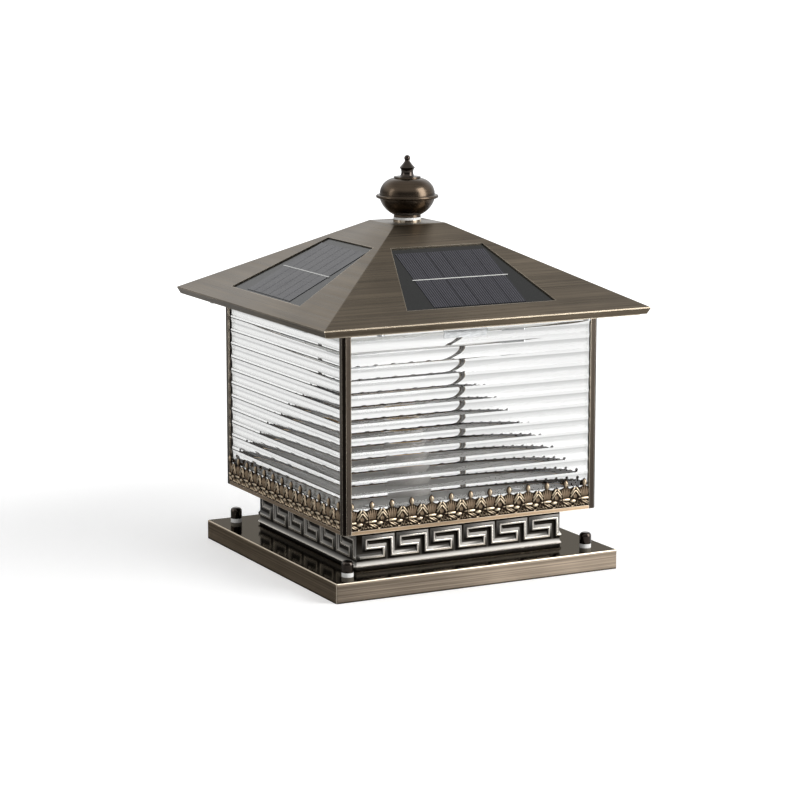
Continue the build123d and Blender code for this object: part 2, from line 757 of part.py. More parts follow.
def make_panel_clips():
    """Bent clips under each slope that hold the edges of the solar panels up."""
    roof_under = ROOF_SHEET
    panel_under = ROOF_SHEET + PANEL_GLUE_GAP + PANEL_THICKNESS
    clips = []
    for edge, out in (
        (window_low - PANEL_LAP, -1),
        (window_high + PANEL_LAP, 1),
    ):
        near = edge + out * CLIP_GAP
        outline = Polyline(
            (near + out * (CLIP_SHEET + CLIP_FOOT), -roof_under),
            (near, -roof_under),
            (near, -panel_under),
            (edge - out * CLIP_LIP, -panel_under),
            (edge - out * CLIP_LIP, -panel_under - CLIP_SHEET),
            (near + out * CLIP_SHEET, -panel_under - CLIP_SHEET),
            (near + out * CLIP_SHEET, -roof_under - CLIP_SHEET),
            (near + out * (CLIP_SHEET + CLIP_FOOT), -roof_under - CLIP_SHEET),
            close=True,
        )
        section = make_face(Plane.YZ * outline)
        for x in (-CLIP_SPACING / 2, CLIP_SPACING / 2):
            clip = extrude(section, CLIP_WIDTH / 2, dir=(1, 0, 0), both=True)
            clips.append(slope_plane(0).location * Pos(x, 0, 0) * clip)
    return group([turned(clip, degrees) for clip in clips for degrees in SIDES.values()])


def make_ceiling_plate():
    half = rim_half - CEILING_INSET
    plate = slab(half, half, body_top, ceiling_top)
    plate -= upright(SWITCH_BARREL_RADIUS + SWITCH_CLEARANCE, body_top, ceiling_top, 0, SWITCH_PLACE)
    for x, y in ceiling_screw_places():
        plate -= upright(CEILING_SCREW_RADIUS + SCREW_CLEARANCE, body_top, ceiling_top, x, y)
    return plate


def make_ceiling_screws():
    high = eave_bottom + ROOF_SHEET + CEILING_SCREW_TAIL
    screws = []
    for x, y in ceiling_screw_places():
        head = upright(CEILING_SCREW_HEAD_RADIUS, body_top - CEILING_SCREW_HEAD_HEIGHT, body_top, x, y)
        screws.append(head + upright(CEILING_SCREW_RADIUS, body_top, high, x, y))
    return group(screws)


def make_locating_tabs():
    """Bent tabs under the ceiling that drop inside the ledge of the top frame."""
    face = -(body_half - TOP_LEDGE - TAB_CLEARANCE)
    outline = Polyline(
        (face, body_top),
        (face, body_top - TAB_DROP),
        (face + TAB_SHEET, body_top - TAB_DROP),
        (face + TAB_SHEET, body_top - TAB_SHEET),
        (face + TAB_FOOT, body_top - TAB_SHEET),
        (face + TAB_FOOT, body_top),
        close=True,
    )
    return on_four_sides(extrude(Plane.YZ * make_face(outline), TAB_WIDTH / 2, both=True))


def make_led_board():
    low = body_top - LED_BOARD_THICKNESS
    board = upright(LED_BOARD_RADIUS, low, body_top)
    for number in range(LED_COUNT):
        chip = slab(LED_SIDE / 2, LED_SIDE / 2, low - LED_HEIGHT, low, LED_CIRCLE_RADIUS)
        board += turned(chip, number * 360 / LED_COUNT)
    return board


def make_led_cover():
    low = body_top - COVER_HEIGHT
    cover = upright(COVER_RADIUS, low, body_top)
    cover = fillet(cover.edges().filter_by(GeomType.CIRCLE).sort_by(Axis.Z)[0], COVER_EDGE_RADIUS)
    hollow = upright(COVER_RADIUS - COVER_WALL, low + COVER_WALL, body_top)
    lowest = hollow.edges().filter_by(GeomType.CIRCLE).sort_by(Axis.Z)[0]
    return cover - fillet(lowest, COVER_EDGE_RADIUS - COVER_WALL)


def make_switch_body():
    low = body_top - SWITCH_BEZEL_HEIGHT
    body = upright(SWITCH_BEZEL_RADIUS, low, body_top, 0, SWITCH_PLACE)
    body += upright(SWITCH_BARREL_RADIUS, body_top, body_top + SWITCH_BARREL_HEIGHT, 0, SWITCH_PLACE)
    well_top = body_top + BUTTON_SEAT + BUTTON_TRAVEL + BUTTON_SPARE
    return body - upright(BUTTON_RADIUS + BUTTON_CLEARANCE, low, well_top, 0, SWITCH_PLACE)


def make_power_button():
    low = body_top - SWITCH_BEZEL_HEIGHT - BUTTON_PROUD
    button = upright(BUTTON_RADIUS, low, body_top + BUTTON_SEAT, 0, SWITCH_PLACE)
    rim = button.edges().filter_by(GeomType.CIRCLE).sort_by(Axis.Z)[0]
    return fillet(rim, BUTTON_PROUD / 3)


def make_battery_box():
    half_x = 2 * CELL_CAN_RADIUS + CELL_CAN_GAP / 2 + BATTERY_FIT + BATTERY_WALL
    half_y = CELL_CAN_LENGTH / 2 + BATTERY_FIT + BATTERY_WALL
    high = ceiling_top + BATTERY_BOX_HEIGHT
    box = slab(half_x, half_y, ceiling_top, high, BATTERY_PLACE)
    floor = ceiling_top + BATTERY_WALL
    hollow = slab(half_x - BATTERY_WALL, half_y - BATTERY_WALL, floor, high, BATTERY_PLACE)
    return box - hollow


def make_battery_cells():
    middle = ceiling_top + BATTERY_WALL + CELL_CAN_RADIUS
    step = CELL_CAN_RADIUS + CELL_CAN_GAP / 2
    can = Rot(90, 0, 0) * Cylinder(CELL_CAN_RADIUS, CELL_CAN_LENGTH)
    return group([Pos(BATTERY_PLACE + x, 0, middle) * can for x in (-step, step)])


def make_controller_board():
    """Charge board on four pillars, beside the battery."""
    battery_side = 2 * CELL_CAN_RADIUS + CELL_CAN_GAP / 2 + BATTERY_FIT + BATTERY_WALL
    middle = BATTERY_PLACE + battery_side + BOARD_GAP + BOARD_LENGTH / 2
    low = ceiling_top + STANDOFF_HEIGHT
    high = low + BOARD_THICKNESS
    board = slab(BOARD_LENGTH / 2, BOARD_WIDTH / 2, low, high, middle)
    board += slab(INDUCTOR_SIDE / 2, INDUCTOR_SIDE / 2, high, high + INDUCTOR_HEIGHT, middle)
    far_x = middle + BOARD_LENGTH / 2 - CAPACITOR_RADIUS - STANDOFF_INSET
    board += upright(CAPACITOR_RADIUS, high, high + CAPACITOR_HEIGHT, far_x)
    near_x = middle - BOARD_LENGTH / 2 + CONNECTOR_LENGTH / 2
    for step in (-1, 0, 1):
        top = high + CONNECTOR_HEIGHT
        board += slab(CONNECTOR_LENGTH / 2, CONNECTOR_WIDTH / 2, high, top, near_x, step * CONNECTOR_SPACING)
    pieces = [board]
    for side_x in (-1, 1):
        for side_y in (-1, 1):
            x = middle + side_x * (BOARD_LENGTH / 2 - STANDOFF_INSET)
            y = side_y * (BOARD_WIDTH / 2 - STANDOFF_INSET)
            pieces.append(upright(STANDOFF_RADIUS, ceiling_top, low, x, y))
    return group(pieces)


# Finial


def make_finial_stud():
    low = plateau - ROOF_SHEET - FINIAL_NUT_HEIGHT - FINIAL_STUD_TAIL
    return upright(STUD_RADIUS, low, disc_top + FINIAL_STUD_REACH)


def make_finial_nut():
    high = plateau - ROOF_SHEET
    low = high - FINIAL_NUT_HEIGHT
    return hexagon(FINIAL_NUT_ACROSS_FLATS, low, high) - upright(STUD_RADIUS + THREAD_CLEARANCE, low, high)


def make_finial_collar():
    ring = upright(COLLAR_RADIUS, plateau, collar_top)
    return ring - upright(stud_hole_radius, plateau, collar_top)


def make_finial_washer():
    ring = upright(WASHER_RADIUS, collar_top, washer_top)
    return ring - upright(stud_hole_radius, collar_top, washer_top)


def make_finial_ball_lower():
    """The lower spun cup, with half of the bead at its mouth."""
    low = washer_top
    neck_top = low + BALL_NECK_HEIGHT
    bead_low = bead_middle - BEAD_HALF_HEIGHT
    shoulder = (BOWL_SHOULDER_RADIUS, neck_top + BOWL_SHOULDER_RISE)
    inner_shoulder = (shoulder[0] - BALL_WALL * diagonal, shoulder[1] + BALL_WALL * diagonal)
    return spun(
        Polyline((stud_hole_radius, low), (BALL_NECK_RADIUS, low), (BALL_NECK_RADIUS, neck_top)),
        ThreePointArc((BALL_NECK_RADIUS, neck_top), shoulder, (BALL_RADIUS, bead_low)),
        Line((BALL_RADIUS, bead_low), (BEAD_RADIUS - BEAD_HALF_HEIGHT, bead_low)),
        ThreePointArc(
            (BEAD_RADIUS - BEAD_HALF_HEIGHT, bead_low),
            (BEAD_RADIUS - (1 - diagonal) * BEAD_HALF_HEIGHT, bead_middle - diagonal * BEAD_HALF_HEIGHT),
            (BEAD_RADIUS, bead_middle),
        ),
        Line((BEAD_RADIUS, bead_middle), (BALL_RADIUS - BALL_WALL, bead_middle)),
        ThreePointArc(
            (BALL_RADIUS - BALL_WALL, bead_middle),
            inner_shoulder,
            (BALL_NECK_RADIUS - BALL_WALL, neck_top + BALL_WALL),
        ),
        Polyline(
            (BALL_NECK_RADIUS - BALL_WALL, neck_top + BALL_WALL),
            (BALL_NECK_RADIUS - BALL_WALL, low + BALL_WALL),
            (stud_hole_radius, low + BALL_WALL),
            (stud_hole_radius, low),
        ),
    )


def make_finial_ball_upper():
    """The domed upper half, with the other half of the bead."""
    bead_high = bead_middle + BEAD_HALF_HEIGHT
    shoulder = (DOME_SHOULDER_RADIUS, bead_high + DOME_SHOULDER_RISE)
    inner_shoulder = (shoulder[0] - BALL_WALL * diagonal, shoulder[1] - BALL_WALL * diagonal)
    return spun(
        Polyline((BALL_RADIUS - BALL_WALL, bead_middle), (BEAD_RADIUS, bead_middle)),
        ThreePointArc(
            (BEAD_RADIUS, bead_middle),
            (BEAD_RADIUS - (1 - diagonal) * BEAD_HALF_HEIGHT, bead_middle + diagonal * BEAD_HALF_HEIGHT),
            (BEAD_RADIUS - BEAD_HALF_HEIGHT, bead_high),
        ),
        Line((BEAD_RADIUS - BEAD_HALF_HEIGHT, bead_high), (BALL_RADIUS, bead_high)),
        ThreePointArc((BALL_RADIUS, bead_high), shoulder, (DISC_RADIUS, ball_top)),
        Polyline(
            (DISC_RADIUS, ball_top),
            (stud_hole_radius, ball_top),
            (stud_hole_radius, ball_top - BALL_WALL),
            (DISC_RADIUS - BALL_WALL, ball_top - BALL_WALL),
        ),
        ThreePointArc(
            (DISC_RADIUS - BALL_WALL, ball_top - BALL_WALL),
            inner_shoulder,
            (BALL_RADIUS - BALL_WALL, bead_high),
        ),
        Line((BALL_RADIUS - BALL_WALL, bead_high), (BALL_RADIUS - BALL_WALL, bead_middle)),
    )


def make_finial_disc():
    disc = upright(DISC_RADIUS, ball_top, disc_top)
    return disc - upright(stud_hole_radius, ball_top, disc_top)


def make_finial_spire():
    """The turned spire: waist, bulge, cone and a small knob, with a blind threaded hole."""
    low = disc_top
    waist = low + SPIRE_WAIST_HEIGHT
    bulge = low + SPIRE_BULGE_HEIGHT
    tip = low + SPIRE_TIP_HEIGHT
    cone = (bulge + tip) / 2
    top = low + SPIRE_HEIGHT
    knob_middle = top - KNOB_RADIUS
    knob_low = knob_middle - math.sqrt(KNOB_RADIUS ** 2 - SPIRE_TIP_RADIUS ** 2)
    hole_radius = STUD_RADIUS + THREAD_CLEARANCE
    hole_top = low + FINIAL_STUD_REACH + STUD_CLEARANCE
    return spun(
        Polyline((hole_radius, low), (SPIRE_BASE_RADIUS, low)),
        ThreePointArc((SPIRE_BASE_RADIUS, low), (SPIRE_WAIST_RADIUS, waist), (SPIRE_BULGE_RADIUS, bulge)),
        ThreePointArc((SPIRE_BULGE_RADIUS, bulge), (SPIRE_CONE_RADIUS, cone), (SPIRE_TIP_RADIUS, tip)),
        Line((SPIRE_TIP_RADIUS, tip), (SPIRE_TIP_RADIUS, knob_low)),
        ThreePointArc((SPIRE_TIP_RADIUS, knob_low), (KNOB_RADIUS, knob_middle), (0, top)),
        Polyline((0, top), (0, hole_top), (hole_radius, hole_top), (hole_radius, low)),
    )


def make_parts():
    """Every node of the light by name."""
    parts = {
        "mounting_plate": make_mounting_plate(),
        "mounting_studs": make_mounting_studs(),
        "base_cover": make_base_cover(),
        "stud_spacers": make_stud_spacers(),
        "acorn_nuts": make_acorn_nuts(),
        "neck_corner_angles": make_neck_corner_angles(),
        "tie_bolts": make_tie_bolts(),
        "floor_tray": make_floor_tray(),
        "top_frame": make_top_frame(),
        "glazing_angles": make_glazing_angles(),
        "lamp_holder": make_lamp_holder(),
        "lamp_contacts": make_lamp_contacts(),
        "lamp_leads": make_lamp_leads(),
        "terminal_block": make_terminal_block(),
        "cable_grommet": make_cable_grommet(),
        "roof_shell": make_roof_shell(),
        "ceiling_plate": make_ceiling_plate(),
        "ceiling_screws": make_ceiling_screws(),
        "locating_tabs": make_locating_tabs(),
        "panel_clips": make_panel_clips(),
        "led_board": make_led_board(),
        "led_cover": make_led_cover(),
        "switch_body": make_switch_body(),
        "power_button": make_power_button(),
        "battery_box": make_battery_box(),
        "battery_cells": make_battery_cells(),
        "controller_board": make_controller_board(),
        "finial_stud": make_finial_stud(),
        "finial_nut": make_finial_nut(),
        "finial_collar": make_finial_collar(),
        "finial_washer": make_finial_washer(),
        "finial_ball_lower": make_finial_ball_lower(),
        "finial_ball_upper": make_finial_ball_upper(),
        "finial_disc": make_finial_disc(),
        "finial_spire": make_finial_spire(),
    }
    per_side = {
        "neck_panel": make_neck_panel(),
        "glass_pane": make_glass_pane(),
        "frieze": make_frieze(),
        "corner_post": make_corner_post(),
        "solar_panel": make_solar_panel(),
        "solar_cells": make_solar_cells(),
    }
    for name, shape in per_side.items():
        for side, degrees in SIDES.items():
            parts[f"{name}_{side}"] = turned(shape, degrees)
    return parts


def main():
    os.makedirs("parts", exist_ok=True)
    for name, shape in make_parts().items():
        export_step(shape, f"parts/{name}.step")


main()
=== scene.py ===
import json
import math

import bmesh
import bpy
from bpy.props import FloatProperty, FloatVectorProperty, PointerProperty
from mathutils import Matrix, Vector


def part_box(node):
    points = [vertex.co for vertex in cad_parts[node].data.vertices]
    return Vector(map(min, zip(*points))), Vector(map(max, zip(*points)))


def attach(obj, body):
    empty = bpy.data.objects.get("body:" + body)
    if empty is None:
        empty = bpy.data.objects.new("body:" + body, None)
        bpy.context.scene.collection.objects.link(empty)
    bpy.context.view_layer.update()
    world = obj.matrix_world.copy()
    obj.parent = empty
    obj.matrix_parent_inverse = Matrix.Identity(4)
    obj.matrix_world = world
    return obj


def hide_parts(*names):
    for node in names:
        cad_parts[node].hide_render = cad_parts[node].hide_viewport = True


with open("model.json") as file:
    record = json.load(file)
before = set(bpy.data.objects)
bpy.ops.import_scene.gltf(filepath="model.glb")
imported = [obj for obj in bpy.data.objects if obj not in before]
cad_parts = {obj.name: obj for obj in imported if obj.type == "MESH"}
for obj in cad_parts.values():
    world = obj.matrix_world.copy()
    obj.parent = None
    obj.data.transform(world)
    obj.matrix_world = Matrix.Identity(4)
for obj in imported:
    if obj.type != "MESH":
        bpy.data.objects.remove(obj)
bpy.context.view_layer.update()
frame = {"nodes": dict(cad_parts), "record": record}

bl_info = {
    "name": "Solar pagoda light",
    "version": (1, 0, 0),
    "blender": (4, 5, 0),
    "location": "View3D > Sidebar > Pagoda light",
    "description": "Dresses the frame of a pillar-top lantern with its castings, glass and finishes",
    "category": "Object",
}

MM = 0.001
NODES = frame["nodes"]
SIDES = {"front": 0, "right": 90, "back": 180, "left": 270}
PANE_BACK = -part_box("glass_pane_front")[1].y
PANE_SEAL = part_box("frieze_front")[1].x + 1.0 * MM
NECK_LOW, NECK_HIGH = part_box("neck_panel_front")
FRIEZE_LOW, FRIEZE_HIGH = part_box("frieze_front")

# Edges that turn by more than this stay sharp
SHARP_ANGLE = math.radians(35)

# How far the stems of the frieze stand off its ground, in millimetres
STEM_LIFT = 0.75

# The middle of its range, which a noise keeps to
NOISE_RANGE = (0.3, 0.7)

# How squarely a face looks up or down to count as level
LEVEL = 0.97

# Silver fingers on the cells of one solar panel
FINGERS = 42

# Fixed colours of the sheet metal
# Painted dark reflection on the flat across the corner of a post
PAINTED_DARK_REFLECTION = (0.012, 0.009, 0.007)
# Painted contact shadow along the foot of the base
PAINTED_FOOT_SHADOW = (0.045, 0.036, 0.028)
POLISHED = (0.200, 0.190, 0.175)
POLISHED_RIM = (0.42, 0.40, 0.37)
GREY_PAINT = (0.165, 0.162, 0.154)
WHITE_PAINT = (0.86, 0.86, 0.84)

# Fixed colours of the castings
# Black of patina and painted shade in the recesses of the relief
RECESS_PATINA_AND_SHADE = (0.008, 0.006, 0.005)
# Painted shade on slopes that face down and painted light on those that face up, with the casting's grey
# between
DOWN_FACING_SHADE = (0.010, 0.008, 0.006)
GREY_PATINA = (0.225, 0.215, 0.200)
UP_FACING_LIGHT = (0.62, 0.59, 0.54)
DARK_BROWN = (0.024, 0.017, 0.012)
BROWN = (0.350, 0.262, 0.178)

# Fixed colours of the glass
GLASS = (0.935, 0.939, 0.930)
GLINT = (0.3, 0.3, 0.3)
SEALANT = (0.260, 0.252, 0.240)
# Painted dark line along the ridges of a fluted pane, for the dark refraction seen through them
PAINTED_RIDGE_REFRACTION = (0.004, 0.004, 0.004)

# Tilts of a flute between which a painted dark line along its ridge starts and ends, and how far aslant a
# pane shows that line
RIDGE_STARTS = (0.428, 0.436)
RIDGE_ENDS = (0.55, 0.6)
RIDGE_ASLANT = (0.38, 0.5)

# Distance from the light's axis beyond which a pane is fluted
FLUTED_FACE = PANE_BACK + 1.4 * MM

# What metal shows of the room behind the camera and of a card at the left, and the light on all else
ROOM_BEHIND = 0.16
LEFT_CARD = 0.3
CARD_WAY = (-0.6, 0.8, 0)
PLAIN_LIGHT = 0.52


# Sizes and colours that a user would change


def length(name, description, millimetres):
    return FloatProperty(
        name=name, description=description, default=millimetres * MM, unit="LENGTH", precision=5
    )


def colour(name, description, value):
    return FloatVectorProperty(
        name=name, description=description, default=value, size=3, min=0, max=1, subtype="COLOR"
    )


class NeckSizes(bpy.types.PropertyGroup):
    ground: length("Ground depth", "How far the ground lies behind the lip of the foot", 1.8)
    lip: length("Lip height", "Height of the flared lip above the base", 2.4)
    undercut: length("Undercut", "How far the foot steps back under the lip", 1.4)
    cove: length("Cove height", "Height of the hollow curve from the lip to the ground", 5.4)
    head: length("Head height", "Height of the plain band at the head", 2.6)
    wall: length("Wall", "Thickness of a panel from its lip to its back", 5.0)
    key_pitch: length("Key pitch", "Length of one unit of the running key", 31.4)
    key_start: length("Key start", "How far the first unit starts from the corner", 2.0)
    key_hook_left: length("Hook left", "Place of the left upright of the hook", 8.0)
    key_hook_right: length("Hook right", "Place of the right upright of the hook", 24.0)
    key_low: length("Key foot", "Height of the lowest run above the base", 9.5)
    key_height: length("Key height", "From the middle of the lowest run to that of the highest", 14.9)
    ridge_width: length("Ridge width", "Width of a ridge at its foot", 6.2)
    ridge_apron: length("Ridge apron", "Width of the flat slope at each foot of a ridge", 1.3)
    apron_height: length("Apron height", "How far the flat slope rises", 0.4)
    ridge_flank: length("Ridge flank", "Width of the steep slope on each side of a ridge", 1.2)
    ridge_height: length("Ridge height", "How far a ridge stands up from the ground", 1.6)
    ridge_round: length("Ridge rounding", "Bevel of the crest of a ridge", 0.3)
    ridge_root: length("Ridge root", "How deep a ridge is sunk into the ground", 0.4)
    corner: length("Corner flat", "Chamfer where two panels meet", 1.2)


class FriezeSizes(bpy.types.PropertyGroup):
    pitch: length("Unit pitch", "Distance from one bud to the next", 18.15)
    first_bud: length("First bud", "Distance of the last bud from the right end of the strip", 4.1)
    relief: length("Relief", "Depth of the carving", 1.6)


class StageSizes(bpy.types.PropertyGroup):
    yaw: FloatProperty(name="Yaw", description="Turn of the camera about the light",
                       default=math.radians(27.18), subtype="ANGLE")
    pitch: FloatProperty(name="Pitch", description="How far the camera looks down",
                         default=math.radians(10.09), subtype="ANGLE")
    distance: length("Distance", "From the camera to the axis of the light", 2214.4)
    aim: length("Aim height", "Height of the point that the camera turns about and the lamps aim at", 150.0)
    aside: length("Aside", "Step of the camera to its right", -6.1)
    above: length("Above", "Step of the camera upwards", -15.2)
    lens: FloatProperty(name="Lens", description="Focal length of the camera", default=116.3, unit="CAMERA")


class FinishColours(bpy.types.PropertyGroup):
    roof: colour("Roof bronze", "Brushed sheet of the roof", (0.142, 0.114, 0.081))
    base: colour("Base bronze", "Brushed sides of the base tray", (0.262, 0.213, 0.163))
    post: colour("Post bronze", "Brushed corner posts", (0.078, 0.063, 0.050))
    rail: colour("Rail bronze", "Brushed rail of the floor tray", (0.340, 0.245, 0.160))
    # Bare metal at rubbed edges, which also paints bright highlight lines along every edge
    edge: colour("Worn edge", "Bare metal along the edges of the sheets", (0.740, 0.650, 0.520))
    spun: colour("Spun bronze", "Satin metal of the finial ball", (0.085, 0.064, 0.046))
    gloss: colour("Dark gloss", "Lacquered metal of the nuts and the spire", (0.036, 0.025, 0.018))
    casting: colour("Casting", "Worn high spots of the neck", (0.68, 0.64, 0.58))
    gilt: colour("Gilt", "Worn high spots of the frieze", (0.85, 0.72, 0.52))


class LightSettings(bpy.types.PropertyGroup):
    neck: PointerProperty(type=NeckSizes)
    frieze: PointerProperty(type=FriezeSizes)
    stage: PointerProperty(type=StageSizes)
    colours: PointerProperty(type=FinishColours)


# Node helpers


def node(tree, kind, inputs=None, **settings):
    """A new node with its settings, and its inputs set or linked by name or number."""
    made = tree.nodes.new(kind)
    for key, value in settings.items():
        setattr(made, key, value)
    for key, value in (inputs or {}).items():
        if isinstance(value, bpy.types.NodeSocket):
            tree.links.new(value, made.inputs[key])
        else:
            made.inputs[key].default_value = value
    return made


def sums(tree, operation, *values):
    return node(tree, "ShaderNodeMath", dict(enumerate(values)), operation=operation).outputs[0]


def vector_sums(tree, operation, *vectors, output="Vector"):
    return node(tree, "ShaderNodeVectorMath", dict(enumerate(vectors)), operation=operation).outputs[output]


def scaled(tree, colour_value, factor):
    """A colour made darker or lighter by a factor."""
    inputs = {0: colour_value, "Scale": factor}
    return node(tree, "ShaderNodeVectorMath", inputs, operation="SCALE").outputs[0]


def choose(tree, factor, first, second):
    """The first number where the factor is 0, and the second where it is 1."""
    return node(tree, "ShaderNodeMix", {0: factor, 2: first, 3: second}, data_type="FLOAT").outputs[0]


def tint(tree, factor, first, second):
    """The first colour where the factor is 0, and the second where it is 1."""
    inputs = {0: factor, 6: opaque(first), 7: opaque(second)}
    return node(tree, "ShaderNodeMix", inputs, data_type="RGBA").outputs[2]


def opaque(value):
    return value if isinstance(value, bpy.types.NodeSocket) else (*value, 1)


def spread(tree, value, low, high, to_low=0.0, to_high=1.0):
    """A number moved from one range to another, held at its ends."""
    inputs = {0: value, 1: low, 2: high, 3: to_low, 4: to_high}
    return node(tree, "ShaderNodeMapRange", inputs, clamp=True).outputs[0]


def vary(tree, noise, low=0.0, high=1.0):
    """A noise, which keeps to the middle of its range, spread from one number to another."""
    return spread(tree, noise, *NOISE_RANGE, low, high)


def split(tree, vector):
    return node(tree, "ShaderNodeSeparateXYZ", {0: vector}).outputs


def grain(tree, vector, scale, detail=3.0, roughness=0.6):
    inputs = {"Vector": vector, "Scale": scale, "Detail": detail, "Roughness": roughness}
    return node(tree, "ShaderNodeTexNoise", inputs).outputs["Fac"]


def place(tree):
    """Object coordinates of the surface."""
    return node(tree, "ShaderNodeTexCoord").outputs["Object"]


def facing(tree):
    """How squarely the surface faces along X, Y and Z, each from 0 to 1."""
    normal = node(tree, "ShaderNodeTexCoord").outputs["Normal"]
    return split(tree, vector_sums(tree, "ABSOLUTE", normal))


def standing_out(tree, low, high):
    """How far the surface stands out from the light's axis, from 0 at one distance to 1 at another."""
    out = split(tree, vector_sums(tree, "ABSOLUTE", place(tree)))
    return spread(tree, sums(tree, "MAXIMUM", out[0], out[1]), low, high)


def ripple(tree, height, distance, strength=1.0):
    """A normal that follows a height from 0 to 1 over a real depth."""
    inputs = {"Height": height, "Distance": distance, "Strength": strength}
    return node(tree, "ShaderNodeBump", inputs).outputs[0]


def new_finish(name):
    material = bpy.data.materials.new(name)
    material.use_nodes = True
    material.node_tree.nodes.clear()
    return material, material.node_tree


def surface(tree, **inputs):
    """The Principled shader joined to the material's output."""
    named = {key.replace("_", " "): value for key, value in inputs.items()}
    shader = node(tree, "ShaderNodeBsdfPrincipled")
    for key, value in named.items():
        socket = next(s for s in shader.inputs if s.name.lower() == key)
        if isinstance(value, bpy.types.NodeSocket):
            tree.links.new(value, socket)
        else:
            socket.default_value = opaque(value) if isinstance(value, (tuple, list)) else value
    node(tree, "ShaderNodeOutputMaterial", {"Surface": shader.outputs[0]})
    return shader


# Finishes


def brush_lines(tree, upright=False, drawn=7.0, fine=900.0):
    """Noise drawn out into lines that lie level on every face, or run up it."""
    spot = split(tree, place(tree))
    face = facing(tree)
    sideways = sums(tree, "GREATER_THAN", face[0], face[1])
    flat = sums(tree, "GREATER_THAN", face[2], LEVEL)
    along = choose(tree, sideways, spot[0], spot[1])
    other = choose(tree, sideways, spot[1], spot[0])
    across = choose(tree, flat, spot[2], other)
    if upright:
        along, across = spot[2], along
    along = sums(tree, "MULTIPLY", along, drawn)
    across = sums(tree, "MULTIPLY", across, fine)
    stretched = node(tree, "ShaderNodeCombineXYZ", {0: along, 1: across, 2: sideways}).outputs[0]
    return grain(tree, stretched, 1.0, 4.0, 0.65)


def worn_edges_and_highlights(tree, reach):
    """1 along the sharp edges of a piece, fading to 0 within its reach, for edges rubbed bare and painted
    highlights.
    """
    rounded = node(tree, "ShaderNodeBevel", {"Radius": reach}, samples=6).outputs[0]
    flat = node(tree, "ShaderNodeNewGeometry").outputs["Normal"]
    alike = vector_sums(tree, "DOT_PRODUCT", rounded, flat, output="Value")
    return spread(tree, alike, 0.85, 0.985, 1.0, 0.0)


def brushed_bronze(name, colour_value, edge_colour, roughness, upright=False, polished_top=False,
                   paint=None):
    """Antique bronze sheet with brush lines, faint clouds of patina, and edges rubbed bare and painted
    bright as highlights.

    Where the lines run up a post, the flat across its corner is painted dark as a reflection. Below a
    polished top the sides are combed, with painted highlights on the corners and the fold of the top, and
    painted shadow at the foot. Paint, where there is any, is matt and covers what lies inside the panes.
    """
    material, tree = new_finish(name)
    lines = brush_lines(tree, upright)
    clouds = grain(tree, place(tree), 14.0, 2.0)
    streak = vary(tree, lines, 0.72, 1.28)
    bands = brush_lines(tree, upright, 4.0, 260.0)
    cloud = sums(tree, "MULTIPLY", vary(tree, clouds, 0.88, 1.12), vary(tree, bands, 0.80, 1.20))
    shade = sums(tree, "MULTIPLY", streak, cloud)
    base = scaled(tree, colour_value, shade)
    face = facing(tree)
    if upright:
        # The flat across a post's corner gets a painted dark reflection
        corner = sums(tree, "COMPARE", face[0], face[1], 0.5)
        base = tint(tree, corner, base, PAINTED_DARK_REFLECTION)
    # Edges rubbed bare, also painted bright as highlight lines
    rub_and_highlight = sums(tree, "MULTIPLY", worn_edges_and_highlights(tree, 1.0 * MM), spread(tree, clouds, 0.3, 0.6, 0.5, 1.0))
    base = tint(tree, rub_and_highlight, base, edge_colour)
    rough = vary(tree, lines, roughness - 0.06, roughness + 0.08)
    normal = ripple(tree, lines, 0.06 * MM, 0.6)
    stretch = 0.75
    rim = (1, 1, 1)
    metal = 1.0
    if polished_top:
        combed = spread(tree, brush_lines(tree, False, 1.5, 420.0), 0.40, 0.60, 0.72, 1.28)
        base = scaled(tree, base, combed)
        # Painted contact shadow along the lowest millimetre or so of the sides
        foot = spread(tree, split(tree, place(tree))[2], 0.7 * MM, 1.5 * MM, 1.0, 0.0)
        base = tint(tree, foot, base, PAINTED_FOOT_SHADOW)
        top = sums(tree, "GREATER_THAN", face[2], LEVEL)
        # Painted highlights: the edge colour on the upright corners and on the rounded fold of the top, with
        # the corners made less metallic
        corner = sums(tree, "SUBTRACT", sums(tree, "COMPARE", face[0], face[1], 0.2), top)
        fold = sums(tree, "COMPARE", face[2], 0.54, 0.42)
        base = tint(tree, sums(tree, "MAXIMUM", corner, fold), base, edge_colour)
        metal = spread(tree, corner, 0.0, 1.0, 1.0, 0.4)
        base = tint(tree, top, base, POLISHED)
        rough = choose(tree, top, rough, 0.05)
        stretch = choose(tree, top, stretch, 0.0)
        rim = POLISHED_RIM
    shine = 0.5
    if paint:
        inside = standing_out(tree, PANE_BACK, PANE_BACK - 0.1 * MM)
        base = tint(tree, inside, base, paint)
        metal = sums(tree, "SUBTRACT", 1.0, inside)
        shine = 0.0
    round_axis = node(tree, "ShaderNodeTangent", direction_type="RADIAL", axis="Z").outputs[0]
    surface(tree, base_color=base, metallic=metal, roughness=rough, normal=normal, anisotropic=stretch,
            anisotropic_rotation=0.0 if upright else 0.25, tangent=round_axis, specular_tint=rim,
            specular_ior_level=shine)
    return material


def spun_bronze(name, colour_value):
    """Satin metal with the fine rings that spinning leaves."""
    material, tree = new_finish(name)
    spot = split(tree, place(tree))
    rings = grain(tree, node(tree, "ShaderNodeCombineXYZ", {2: spot[2]}).outputs[0], 1800.0, 2.0)
    clouds = grain(tree, place(tree), 60.0, 3.0)
    shade = sums(tree, "MULTIPLY", vary(tree, rings, 0.85, 1.15), vary(tree, clouds, 0.85, 1.15))
    base = scaled(tree, colour_value, shade)
    rough = vary(tree, rings, 0.18, 0.28)
    surface(tree, base_color=base, metallic=1.0, roughness=rough, normal=ripple(tree, rings, 0.03 * MM, 0.5))
    return material


